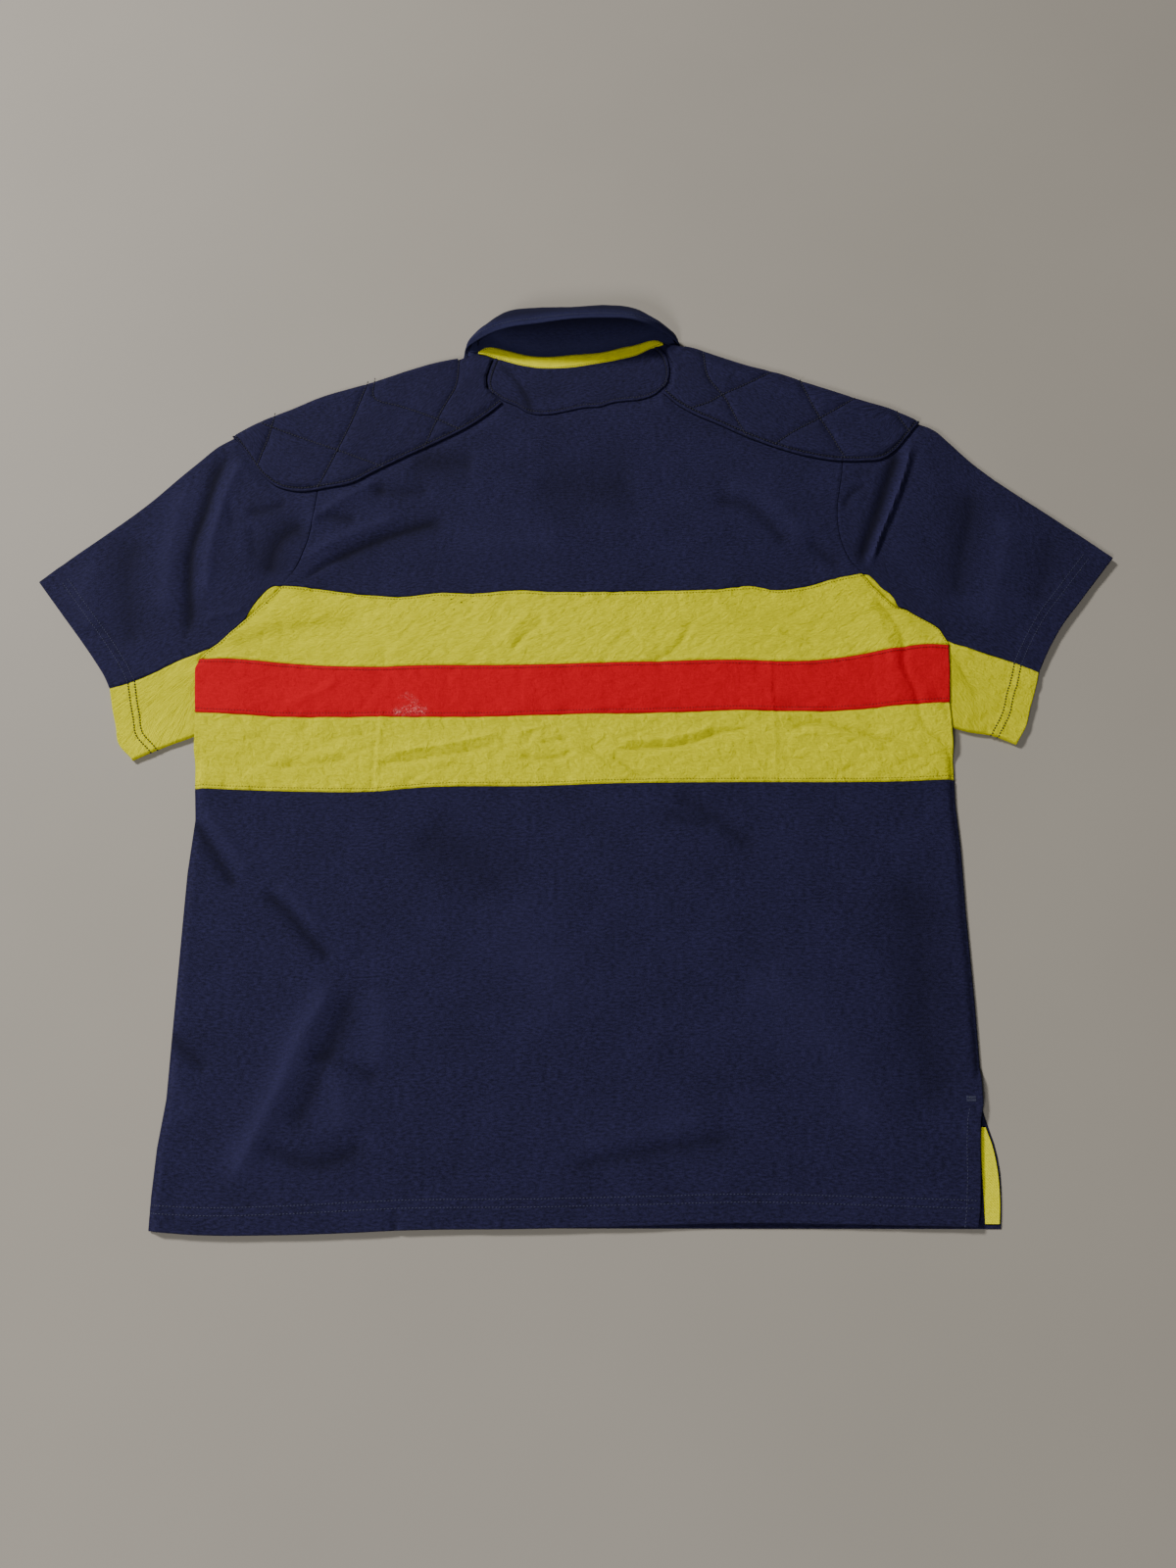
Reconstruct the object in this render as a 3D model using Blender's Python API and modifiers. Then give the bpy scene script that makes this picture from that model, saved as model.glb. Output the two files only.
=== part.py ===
"""Striped polo shirt laid out face down, its back uppermost.

Lengths are millimetres until the last step of each piece, which scales them to metres.
+X runs to the shirt's right-hand side as seen here, +Y runs from the hem to the collar
and +Z is up, away from the surface that the shirt lies on.  The tables give the outline
and the seams about a point in the middle of the chest; CENTRE_Y then moves that point so
that the origin is under the middle of the whole garment.
"""
import bpy
import bmesh
import numpy as np
from math import cos, pi, sin

MM = 0.001

# Walls and the gaps between layers
CLOTH = 1.2            # jersey and twill panels
PAD = 2.0              # quilted shoulder pad
STAND = 1.4            # collar stand
LEAF = 1.8             # collar leaf, two cloths sewn together
TAPE = 1.4             # tape over the back neck seam
VENT_TAPE = 1.0        # tape inside the open side vent
PLACKET = 1.6          # front button strip
SEAM = 0.3             # left open between pieces that lie against each other
SEW = 0.2              # each piece ends this far from its seam line
LAID_ON = 0.4          # left open under a piece that lies on a panel
AIR = 1.6              # air between the front and back layers
LIFT = 2.4             # the front layer's rise over the collar leaf and the pads' turned edge
TUCK = 1.9             # the body's rise over the sleeve that is tucked under it
CENTRE_Y = 20.18       # mid-chest to the middle of the outline

FOLD_RADIUS = (2 * CLOTH + AIR) / 2
PAD_RADIUS = FOLD_RADIUS + LAID_ON + PAD
PAD_TURN = 15.0        # the pads' plain strip under the shoulder fold
BUTTON_RADIUS = 7.0
BUTTON_THICK = 1.8

# Colours: base colour and roughness
NAVY = ("navy_jersey", (0.011, 0.012, 0.046), 0.9)
NAVY_TWILL = ("navy_twill", (0.010, 0.011, 0.044), 0.85)
YELLOW = ("yellow_twill", (0.87, 0.80, 0.02), 0.85)
RED = ("red_twill", (0.56, 0.0, 0.015), 0.85)
HORN = ("button_resin", (0.02, 0.02, 0.05), 0.4)

# Seams across the body, (x, y) from left to right
HEM = ((-347, -466), (-310, -468.5), (-240, -468.5), (-180, -466.5), (-140, -464.5),
       (-30, -462.5), (60, -460), (140, -457.5), (230, -458), (338, -459.5))
LOW_YELLOW_SEAM = ((-349, -80), (-300, -82.5), (-240, -84.5), (-180, -84.5), (-140, -81),
                   (-20, -79.5), (20, -78), (160, -77), (300, -77), (354, -75))
RED_LOW_SEAM = ((-355.5, -5), (-320, -7), (-270, -10), (-180, -10.5), (-80, -11), (0, -9),
                (100, -7.5), (175, -6), (200, -7), (275, -6), (310, -2.5), (355.5, 0))
RED_TOP_SEAM = ((-357, 50), (-330, 50), (-280, 46), (-230, 42), (-185, 41), (-150, 42),
                (-60, 42), (80, 44.5), (175, 45), (200, 43.5), (260, 47), (300, 54),
                (340, 59.5), (360, 58.5))
CHEST_SEAM = ((-283, 127), (-240, 123), (-200, 117.5), (-170, 115), (-120, 118.5),
              (-88, 117.5), (-52, 120.5), (-15, 118.5), (60, 119), (140, 119.5),
              (176, 122.5), (200, 118), (225, 121), (260, 130), (283, 134))

# Side edges of the body, (y, x) from the hem upwards
LEFT_SIDE = ((-469, -347), (-440, -348), (-400, -347.5), (-360, -344), (-300, -345),
             (-200, -346.5), (-160, -347), (-110, -345), (-80, -348.5), (-40, -352.5),
             (-5, -355.5), (20, -358.5), (40, -360), (50, -357))
RIGHT_SIDE = ((-460, 338), (-445, 341), (-420, 344), (-395, 346), (-375, 348.5),
              (-362, 352), (-340, 352.5), (-280, 353.5), (-200, 353.5), (-140, 354.5),
              (-100, 353.5), (-75, 354.5), (-40, 355.5), (0, 355.5), (30, 358.5),
              (58, 360.5))
FRONT_VENT_SIDE = ((-461, 357.5), (-440, 360), (-415, 361), (-395, 358.5), (-378, 354),
                   (-362, 351))
VENT_TOP = -362

# The body's diagonal edge over the sleeve, (x, y) from the red seam to the chest seam
LEFT_DIAGONAL = ((-357, 50), (-351, 57), (-340, 66.5), (-328, 79), (-316, 91),
                 (-308, 99), (-297, 112), (-283, 127))
RIGHT_DIAGONAL = ((360, 58.5), (357, 66), (352, 75), (345, 80.5), (335, 86.5),
                  (322, 95), (312, 99), (302, 109), (293, 120), (283, 134))

# Armhole seams of the back, (x, y) from the chest seam to the shoulder
LEFT_ARMHOLE = ((-283, 127), (-271, 148), (-263, 170), (-258, 200), (-256, 236),
                (-258, 290), (-261.5, 339.5))
RIGHT_ARMHOLE = ((283, 134), (272, 150), (264, 175), (263, 205), (268, 235), (272, 262),
                 (268, 300), (262, 341.5))
# Armhole of the front, cut deeper, hidden under the back and alike on both sides; it starts
# at the armpit and has a point at every seam that it meets
FRONT_ARMHOLE = ((333.5, -18), (333, -5), (319, 51), (305, 86), (294, 121), (277, 170),
                 (268, 230), (264, 290), (262, 339.5))
ARMPIT = ((354, -29), (333.5, -18))

# Shoulder line of the pads as seen from above, (x, y) from the left to the right
LEFT_SHOULDER = ((-120, 390.4), (-140, 386), (-170, 376.5), (-200, 365), (-230, 355),
                 (-260, 345), (-290, 330.5), (-320, 317), (-349, 299))
RIGHT_SHOULDER = ((117, 401.5), (125, 399.5), (150, 389), (180, 377), (215, 365.5),
                  (240, 355), (270, 343), (300, 331), (325, 321.5), (353, 306))
# Edge of each pad on the back, from the neck patch to the sleeve
LEFT_PAD_EDGE = ((-71.5, 333.5), (-86, 320), (-100, 309), (-130, 291), (-170, 270),
                 (-200, 253.5), (-222, 241), (-245, 236), (-275, 232), (-297, 238),
                 (-312, 250), (-330, 275), (-345, 295))
RIGHT_PAD_EDGE = ((94, 342.5), (108, 328.5), (120, 320), (150, 304), (180, 288),
                  (205, 277), (235, 266.5), (260, 261), (292, 259.5), (311, 261.5),
                  (325, 271), (339, 288), (350, 302))

# The pads' ends beside the patch and the tape, from that edge up to the shoulder line
LEFT_PAD_END = ((-71.5, 333.5), (-88.5, 352), (-89.5, 366), (-83.5, 387.5), (-100, 391.8),
                (-120, 386.5))
RIGHT_PAD_END = ((94, 342.5), (103, 355), (104, 380), (96, 397), (100, 402.3),
                 (116, 397.5))

# Neck patch, from its lower left corner
PATCH_LOW = ((-84.5, 348.5), (-70, 336), (-58, 330.5), (-45, 321.5), (-36, 319.3),
             (-20, 319.6), (-8, 322), (12, 326.5), (30, 328), (41, 332), (55, 334),
             (70, 335.5), (84, 341), (97.5, 354))
PATCH_LEFT = ((-84.5, 348.5), (-88, 359), (-86, 374), (-81, 388.5))
PATCH_RIGHT = ((97.5, 354), (101.5, 367), (101.5, 381), (98, 393), (91, 401.5))
# Tape over the neck seam; its lower edge runs past the patch at both ends
TAPE_LOW = ((-98.5, 394.6), (-92, 393.2), (-81, 388.5), (-65, 382), (-50, 377.5),
            (-30, 374), (-10, 374.5), (20, 378.5), (50, 384), (70, 390), (80, 396),
            (88, 400), (94.5, 402.4))
TAPE_HIGH = ((-98, 396.9), (-91.5, 402), (-85, 404.2), (-78, 403.5), (-65, 398), (-50, 391),
             (-40, 389.5), (-25, 389.5), (0, 391.5), (30, 394), (50, 399), (70, 404),
             (80, 407.3), (88, 407.6), (94.5, 404.3))
# The back's own edge from shoulder to shoulder; its points set the columns of the back
BACK_TOP = ((-261.5, 339.5), (-236, 348.5), (-210, 357), (-185, 366.5), (-161, 375.5),
            (-137, 382.5), (-114.5, 386), (-103, 393.3), (-91.5, 402.3), (-76, 401.5),
            (-56, 392.5), (-36, 387.8), (-12, 388.8), (12, 390.5), (36, 393.3), (58, 399),
            (76, 405), (87.5, 407.8), (96, 403.4), (112, 395.8), (130, 392.6), (154, 382.5),
            (180, 372), (207, 363), (235, 352), (262, 341.5))

# Each sleeve is written for the right-hand side and mirrored by its sign
SLEEVE_TABLES = {
    "left": {
        "fold": ((263.2, 340.4), (290, 326.6), (320, 313.1), (348, 296.6), (362, 287),
                 (378, 272), (398, 253), (418, 231), (450, 201), (475, 180), (500, 159),
                 (527, 135)),
        "cuff": ((527, 135), (500, 101), (480, 76), (460, 50), (448, 33), (441, 20)),
        "low_cuff": ((441, 20), (436, 0), (430, -20), (425, -37), (411, -52)),
        "colour_seam": ((283.5, 128), (292, 127.5), (303, 118), (311, 105), (317, 92), (328, 80),
                        (340, 67), (360, 56.5), (380, 48), (400, 37), (418, 28.5),
                        (441, 20)),
        "underarm": ((335, -17), (355, -28), (378, -37), (395, -44.5), (411, -52)),
        "hidden_edge": ((283.5, 128), (290, 108), (303, 88), (320, 66), (333, 42),
                        (336, 10), (335, -17)),
    },
    "right": {
        "fold": ((263.2, 342.9), (292, 331), (322, 319.6), (352, 303.5), (362, 299),
                 (380, 281), (400, 259), (420, 240), (440, 223), (457, 209), (480, 190),
                 (503, 171), (527, 150)),
        "cuff": ((527, 150), (510, 129), (490, 104), (470, 79), (455, 55), (448, 42),
                 (442, 30)),
        "low_cuff": ((442, 30), (436, 10), (430, -5), (424, -24), (414, -41)),
        "colour_seam": ((283.5, 134.5), (290, 133), (295, 128), (302, 119), (310, 112), (316, 100),
                        (323, 96.5), (335, 87.5), (346, 81.5), (354, 75), (358, 66),
                        (380, 55.5), (400, 48), (420, 40), (442, 30)),
        "underarm": ((335, -13), (354, -22.5), (370, -28), (392, -32), (414, -41)),
        "hidden_edge": ((283.5, 134.5), (290, 112), (304, 90), (321, 68), (333, 46),
                        (336, 14), (335, -13)),
    },
}

# Collar, one row for each section from the left front end round the back to the right.
# base = seam to the neckline, top = the stand's other edge, roll and far = where the leaf
# turns over, edge = the leaf's free edge; middle of the wall, (x, y, z)
COLLAR_ROWS = (
    # base                 top                  roll                 far                  edge
    ((-2.5, 307.5, 3.3), (-3.5, 332, 3.3), (-3.6, 334.6, 2.2), (-3.6, 333.2, 1.1), (-58, 268, 1.1)),
    ((-26, 308.8, 3.3), (-23.5, 334, 3.3), (-23.2, 336.6, 2.2), (-23.4, 335.2, 1.1), (-71, 275, 1.1)),
    ((-54, 316, 3.3), (-47, 341, 3.3), (-46.3, 343.5, 2.2), (-46.7, 342.1, 1.1), (-90, 291, 1.1)),
    ((-84, 336, 3.3), (-68, 357, 3.3), (-66.4, 359, 2.2), (-67.2, 357.9, 1.1), (-110, 321, 1.1)),
    ((-101.5, 362, 3.3), (-82, 380, 3.3), (-80, 381.8, 2.2), (-81, 380.9, 1.1), (-119, 352, 1.1)),
    ((-107, 383, 3.4), (-92.5, 403, 3.5), (-91, 405.2, 2.4), (-91.9, 404, 1.1), (-117, 380, 1.1)),
    ((-109.5, 394, 4.5), (-98.5, 407.5, 8), (-100.4, 410.8, 7.9), (-103.1, 408.9, 7.6), (-114.5, 395, 2)),
    ((-105, 402, 7.6), (-98.2, 410.3, 11.8), (-99.4, 412.6, 17), (-103.2, 409.2, 16.8), (-108.5, 400.5, 12)),
    ((-90, 409.2, 7.6), (-85, 417, 24), (-87.8, 416.8, 26.5), (-88.5, 414, 29.5), (-84, 404, 31)),
    ((-66, 400.8, 7.6), (-62, 417.5, 29.5), (-65, 424.3, 31.5), (-66, 424, 35.5), (-62.5, 406.5, 38.5)),
    ((-36, 392.2, 7.6), (-34, 418.5, 33), (-34, 426, 35.5), (-34.5, 425.3, 39.5), (-33.5, 407, 43)),
    ((0, 393.9, 7.6), (0, 419.5, 34), (0, 426.3, 36), (0, 424.5, 40.5), (0, 408.5, 47)),
    ((34, 397, 7.6), (33, 420.5, 34), (34, 427.5, 36), (34, 427, 39.5), (34, 410.5, 45.5)),
    ((66, 405.7, 7.6), (60, 421.5, 31), (62, 427, 33), (63, 426, 36), (61, 411.5, 41.5)),
    ((90, 413, 7.6), (83.5, 419.5, 22.5), (86, 419.5, 25.5), (87, 417.5, 28), (84, 410.5, 29.5)),
    ((102.5, 409.3, 7.6), (96.5, 416, 11.8), (97.2, 417.5, 16.2), (100.4, 414.7, 16), (106, 406, 10.5)),
    ((107.5, 402.5, 4.5), (98.8, 413, 7.3), (100.3, 415.9, 7.6), (103.4, 414.4, 6.9), (113, 402.5, 2)),
    ((105, 387, 3.4), (91.5, 407.5, 3.5), (90, 409.6, 2.4), (90.9, 408.4, 1.1), (115.5, 385, 1.1)),
    ((100.5, 364, 3.3), (82, 382, 3.3), (80, 383.8, 2.2), (81, 382.9, 1.1), (118, 354, 1.1)),
    ((84, 337, 3.3), (68, 358, 3.3), (66.4, 360, 2.2), (67.2, 358.9, 1.1), (110, 322, 1.1)),
    ((54, 316, 3.3), (47, 341, 3.3), (46.3, 343.5, 2.2), (46.7, 342.1, 1.1), (90, 291, 1.1)),
    ((26, 308.8, 3.3), (23.5, 334, 3.3), (23.2, 336.6, 2.2), (23.4, 335.2, 1.1), (71, 275, 1.1)),
    ((2.5, 307.5, 3.3), (3.5, 332, 3.3), (3.6, 334.6, 2.2), (3.6, 333.2, 1.1), (58, 268, 1.1)),
)
LEAF_START = 3.0       # from the stand's edge to the leaf's first point
FRONT_ROWS = 5         # rows from the front end to the front's neck corner, at each end
NECK_CLEAR = 1.2       # from the front's neck edge to the stand

# Largest folds of the back layer: start and end (x, y), half width, height
LARGE_FOLDS = (
    ((-250, 155), (-130, 200), 22, 2.6),
    ((-335, 270), (-300, 190), 24, 2.6),
    ((328, 250), (300, 185), 18, 4.0),
    ((-205, -255), (-270, -400), 28, 3.0),
    ((-330, -130), (-220, -225), 24, 2.2),
    ((70, -38), (300, -38), 18, 1.6),
)
BUTTON_ROWS_Y = (290, 247, 204)
PLACKET_HALF = 16.0


def ramp(value, width):
    """0 below zero, 1 above width, with a soft start and end."""
    t = min(1.0, max(0.0, value / width))
    return t * t * (3 - 2 * t)


def hermite(knots, values, t):
    """Smooth curve through values at knots, read at t."""
    slopes = np.gradient(values, knots, axis=0)
    i = int(np.clip(np.searchsorted(knots, t) - 1, 0, len(knots) - 2))
    h = knots[i + 1] - knots[i]
    s = (t - knots[i]) / h
    return ((1 + 2 * s) * (1 - s) ** 2 * values[i] + s * (1 - s) ** 2 * h * slopes[i]
            + s * s * (3 - 2 * s) * values[i + 1] - s * s * (1 - s) * h * slopes[i + 1])


def along(points):
    """Smooth curve through points, read by the fraction of its length."""
    values = np.array(points, float)
    steps = np.linalg.norm(np.diff(values, axis=0), axis=1)
    knots = np.concatenate(([0.0], np.cumsum(steps))) / steps.sum()
    return lambda t: hermite(knots, values, t)


def across(points):
    """Smooth curve through points whose first column rises, read by that column's fraction."""
    values = np.array(points, float)
    knots = (values[:, 0] - values[0, 0]) / (values[-1, 0] - values[0, 0])
    return lambda t: hermite(knots, values, t)


def stepped(points):
    """Straight lines between points, read so that each line takes an equal share."""
    values = np.array(points, float)

    def read(t):
        at = t * (len(values) - 1)
        i = min(int(at + 1e-9), len(values) - 2)
        return values[i] + (values[i + 1] - values[i]) * (at - i)
    return read


def moved(curve, dx, dy):
    return lambda t: curve(t) + np.array((dx, dy))


def side_piece(table, low, high):
    """The part of a (y, x) side table between two heights, as an (x, y) curve."""
    values = np.array(table, float)

    def read(t):
        y = low + (high - low) * t
        return np.array((np.interp(y, values[:, 0], values[:, 1]), y))
    return read


def patch(low, high, left, right):
    """Surface spanned between four edge curves, as a plan position for (u, v)."""
    def read(u, v):
        point = (1 - v) * low(u) + v * high(u)
        for weight, edge in ((1 - u, left), (u, right)):
            chord = (1 - v) * edge(0.0) + v * edge(1.0)
            point = point + weight * (edge(v) - chord)
        return point
    return read


def even(count):
    return np.linspace(0.0, 1.0, count + 1)


def mirrored(points, sign):
    return tuple((sign * x, y) for x, y in points)


LEFT_SIDE_Y, LEFT_SIDE_X = np.array(LEFT_SIDE, float).T
RIGHT_SIDE_Y, RIGHT_SIDE_X = np.array(RIGHT_SIDE, float).T
# Inner limit of the sleeve panels under the body, y and distance from the middle
TUCK_Y, TUCK_X = np.array(((-60, 345), (-17, 335), (10, 336), (42, 333), (66, 320),
                           (88, 303), (110, 291), (130, 284), (150, 278)), float).T
SHOULDER_X, SHOULDER_Y = np.array((*LEFT_SHOULDER[::-1], *RIGHT_SHOULDER), float).T
PAD_EDGE_X, PAD_EDGE_Y = np.array((*LEFT_PAD_EDGE[::-1], *RIGHT_PAD_EDGE), float).T


def front_under(x, y):
    """Underside of the front layer: flat below, raised above over the collar and the pads."""
    return LIFT * ramp(y - 130, 55) * ramp(400 - abs(x), 45)


def tucked(x, y):
    """1 where the body lies over the sleeve, falling to 0 inwards, above and below."""
    inner = np.interp(y, TUCK_Y, TUCK_X)
    return ramp(abs(x) - inner + 55, 35) * ramp(y + 60, 20) * ramp(152 - y, 20)


def air(x, y):
    """Air between the layers: it closes where front and back are sewn together."""
    if y < 100:
        inside = min(x - np.interp(y, LEFT_SIDE_Y, LEFT_SIDE_X),
                     np.interp(y, RIGHT_SIDE_Y, RIGHT_SIDE_X) - x)
        open_vent = ramp(VENT_TOP + 30 - y, 12) * ramp(x, 50)
        return SEAM + (AIR - SEAM) * max(ramp(inside, 9), open_vent, tucked(x, y))
    below = np.interp(x, SHOULDER_X, SHOULDER_Y) - 4 - y
    away = max(ramp(below, 9), ramp(abs(x) - 225, 30), ramp(150 - abs(x), 25))
    return SEAM + (AIR - SEAM) * away


def relief(x, y):
    """The back's largest folds as soft ridges, left out under pads, patch, tape and tuck."""
    height = 0.0
    for start, end, half_width, rise in LARGE_FOLDS:
        run = np.subtract(end, start)
        t = np.dot(np.subtract((x, y), start), run) / np.dot(run, run)
        away = np.hypot(*(np.subtract((x, y), start) - run * min(1.0, max(0.0, t))))
        height += rise * np.exp(-(away / half_width) ** 2)
    below_pad = np.interp(x, PAD_EDGE_X, PAD_EDGE_Y) - 24 - y
    calm = ramp(abs(x) - np.interp(y, TUCK_Y, TUCK_X) + 60, 30) * ramp(165 - y, 25) * ramp(y + 75, 25)
    return height * ramp(below_pad, 25) * (1 - calm)


def sleeve_top(x, y):
    return front_under(x, y) + CLOTH + AIR + relief(x, y) + CLOTH


def body_under(x, y):
    """Underside of the body's back layer, closed at its edges and raised over the sleeves."""
    gap = air(x, y)
    return (front_under(x, y) + CLOTH + gap + relief(x, y) * ramp(gap - SEAM, AIR - SEAM)
            + TUCK * tucked(x, y))


def pad_top(x, y):
    return front_under(x, y) + 2 * CLOTH + AIR + LAID_ON + PAD


def paint(finish):
    name, colour, roughness = finish
    material = bpy.data.materials.get(name) or bpy.data.materials.new(name)
    material.use_nodes = True
    material.diffuse_color = (*colour, 1.0)
    shader = material.node_tree.nodes["Principled BSDF"]
    shader.inputs["Base Color"].default_value = (*colour, 1.0)
    shader.inputs["Roughness"].default_value = roughness
    shader.inputs["Metallic"].default_value = 0.0
    return material


def add_object(name, mesh, finish):
    obj = bpy.data.objects.new(name, mesh)
    mesh.materials.append(paint(finish))
    garment.objects.link(obj)
    return obj


def cloth(name, finish, us, vs, at, wall, grows):
    """A cloth piece: a grid laid over at(u, v) and thickened.

    grows is 1 where the wall rises from the surface, -1 where it lies inside it and 0 where
    the surface is its middle.  The first face always looks up.
    """
    mesh = bpy.data.meshes.new(name)
    bm = bmesh.new()
    bmesh.ops.create_grid(bm, x_segments=len(us) - 1, y_segments=len(vs) - 1, size=0.5)
    for vert in bm.verts:
        u = us[round((vert.co.x + 0.5) * (len(us) - 1))]
        v = vs[round((vert.co.y + 0.5) * (len(vs) - 1))]
        x, y, z = at(u, v)
        vert.co = (x * MM, (y + CENTRE_Y) * MM, z * MM)
    bm.normal_update()
    bm.faces.ensure_lookup_table()
    if bm.faces[0].normal.z < 0:
        bmesh.ops.reverse_faces(bm, faces=bm.faces[:])
    bm.to_mesh(mesh)
    bm.free()
    mesh.shade_smooth()
    obj = add_object(name, mesh, finish)
    thickened = obj.modifiers.new("wall", "SOLIDIFY")
    thickened.thickness = wall * MM
    thickened.offset = grows
    return obj


def laid_piece(name, finish, us, vs, plan, under, wall=CLOTH):
    """A piece whose outline is a patch and whose underside follows a height."""
    def at(u, v):
        x, y = plan(u, v)
        return x, y, under(x, y)
    return cloth(name, finish, us, vs, at, wall, 1)


def folded_piece(name, finish, us, rows, shape, wall):
    """A piece that runs over a fold: rows 0-1 on top, 1-2 round the fold, 2-3 underneath."""
    fold, radius = shape["fold"], shape["radius"]

    def outward(u):
        run = fold(min(1.0, u + 0.004)) - fold(max(0.0, u - 0.004))
        return shape["side"] * np.array((-run[1], run[0])) / np.hypot(*run)

    def inset(u):
        return fold(u) - radius * outward(u)
    over = patch(shape["top_edge"], inset, shape["top_start"], shape["top_end"])
    below = patch(inset, shape["low_edge"], shape["low_start"], shape["low_end"])

    def at(u, row):
        if row <= 1:
            x, y = over(u, row)
            return x, y, shape["top"](x, y)
        if row >= 2:
            x, y = below(u, row - 2)
            return x, y, shape["under"](x, y)
        angle = pi / 2 - pi * (row - 1)
        x, y = inset(u)
        high, low = shape["top"](x, y), shape["under"](x, y)
        x, y = inset(u) + radius * cos(angle) * outward(u)
        return x, y, (low + high) / 2 + (high - low) / 2 * sin(angle)
    return cloth(name, finish, us, rows, at, wall, -1)


BACK_X = np.array(BACK_TOP, float)[:, 0]
BACK_COLUMNS = (BACK_X - BACK_X[0]) / (BACK_X[-1] - BACK_X[0])
ARMHOLE_ROWS = even(8)


def build_back():
    """Back panels and the three bands between them, from the hem to the neck."""
    seams = {"hem": across(HEM), "low": across(LOW_YELLOW_SEAM), "red_low": across(RED_LOW_SEAM),
             "red_top": across(RED_TOP_SEAM), "chest": across(CHEST_SEAM)}
    strips = (
        # name, finish, seam below, seam above, rows, left edge, right edge
        ("back_lower", NAVY, "hem", "low", 8, side_piece(LEFT_SIDE, -466, -80),
         side_piece(RIGHT_SIDE, -459.5, -75)),
        ("back_band_low", YELLOW, "low", "red_low", 2, side_piece(LEFT_SIDE, -80, -5),
         side_piece(RIGHT_SIDE, -75, 0)),
        ("back_band_middle", RED, "red_low", "red_top", 2, side_piece(LEFT_SIDE, -5, 50),
         side_piece(RIGHT_SIDE, 0, 58)),
        ("back_band_high", YELLOW, "red_top", "chest", 4, along(LEFT_DIAGONAL),
         along(RIGHT_DIAGONAL)),
    )
    for name, finish, low, high, rows, left, right in strips:
        plan = patch(moved(seams[low], 0, SEW), moved(seams[high], 0, -SEW), left, right)
        laid_piece(name, finish, BACK_COLUMNS, even(rows), plan, body_under)
    plan = patch(moved(seams["chest"], 0, SEW), stepped(BACK_TOP), along(LEFT_ARMHOLE),
                 along(RIGHT_ARMHOLE))

    def by_column(u, v):
        """The top edge is read by its point's number, the seam by its fraction across."""
        number = np.interp(u, BACK_COLUMNS, even(len(BACK_COLUMNS) - 1))
        return plan(u, v) + v * (stepped(BACK_TOP)(number) - stepped(BACK_TOP)(u))
    laid_piece("back_upper", NAVY, BACK_COLUMNS, ARMHOLE_ROWS, by_column, body_under)


def front_side(y_low, y_high, sign):
    """Side edge of the front between two heights, under the back's edge but at the vent."""
    table = LEFT_SIDE if sign < 0 else RIGHT_SIDE
    inner = [(x - sign, y) for y, x in table if y_low < y < y_high]
    if sign > 0:
        vent = [(x, y) for y, x in FRONT_VENT_SIDE if y_low < y < y_high]
        inner = vent + [point for point in inner if point[1] > VENT_TOP]
    return inner


def build_front():
    """Front panels and bands, hidden below the back."""
    columns = even(5)
    corners = {
        "hem": ((-345.5, -463.5), (357.5, -461)),
        "low": ((-347.5, -81), (353, -77)),
        "red_low": (mirrored(FRONT_ARMHOLE[1:2], -1)[0], FRONT_ARMHOLE[1]),
        "red_top": (mirrored(FRONT_ARMHOLE[2:3], -1)[0], FRONT_ARMHOLE[2]),
        "chest": (mirrored(FRONT_ARMHOLE[4:5], -1)[0], FRONT_ARMHOLE[4]),
    }
    between = {
        "low": [front_side(-460, -82, sign) for sign in (-1, 1)],
        "red_low": [mirrored(((353, -50), *ARMPIT), sign) for sign in (-1, 1)],
        "red_top": [(), ()],
        "chest": [mirrored(FRONT_ARMHOLE[3:4], sign) for sign in (-1, 1)],
    }
    vent_rows = np.array((0, 0.05, 0.1, 0.15, 0.2, 0.26, 0.45, 0.65, 0.85, 1))
    strips = (
        # name, finish, seam below, seam above, rows
        ("front_lower", NAVY, "hem", "low", vent_rows),
        ("front_band_low", YELLOW, "low", "red_low", even(4)),
        ("front_band_middle", RED, "red_low", "red_top", even(1)),
        ("front_band_high", YELLOW, "red_top", "chest", even(2)),
    )
    for name, finish, low, high, rows in strips:
        curve = along if name == "front_lower" else stepped
        left, right = (curve([corners[low][i], *between[high][i], corners[high][i]])
                       for i in (0, 1))
        plan = patch(moved(stepped(corners[low]), 0, SEW), moved(stepped(corners[high]), 0, -SEW),
                     left, right)
        laid_piece(name, finish, columns, rows, plan, front_under)

    base, top = (by_rows(column) for column in (0, 1))
    last = len(COLLAR_ROWS) - 1
    middle = PLACKET_HALF + 2 * SEW
    chest_y = FRONT_ARMHOLE[4][1] + SEW
    for side, sign in (("left", -1), ("right", 1)):
        neck = []
        for row in range(FRONT_ROWS, 0, -1):
            seam, rim = (curve((row if sign < 0 else last - row) / last)[:2]
                         for curve in (base, top))
            neck.append(seam + NECK_CLEAR * (seam - rim) / np.linalg.norm(seam - rim))
        neck.append((sign * middle, neck[-1][1] - 0.8))
        shoulder = [(x, y - 0.6) for x, y in (BACK_TOP if sign < 0 else BACK_TOP[::-1])
                    if sign * x > 113]
        upper = shoulder + neck
        plan = patch(stepped(((sign * 294, chest_y), (sign * middle, chest_y))), stepped(upper),
                     stepped(mirrored(FRONT_ARMHOLE[4:], sign)),
                     stepped(((sign * middle, chest_y), upper[-1])))
        laid_piece("front_upper_" + side, NAVY, even(len(upper) - 1), even(8), plan, front_under)


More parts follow.
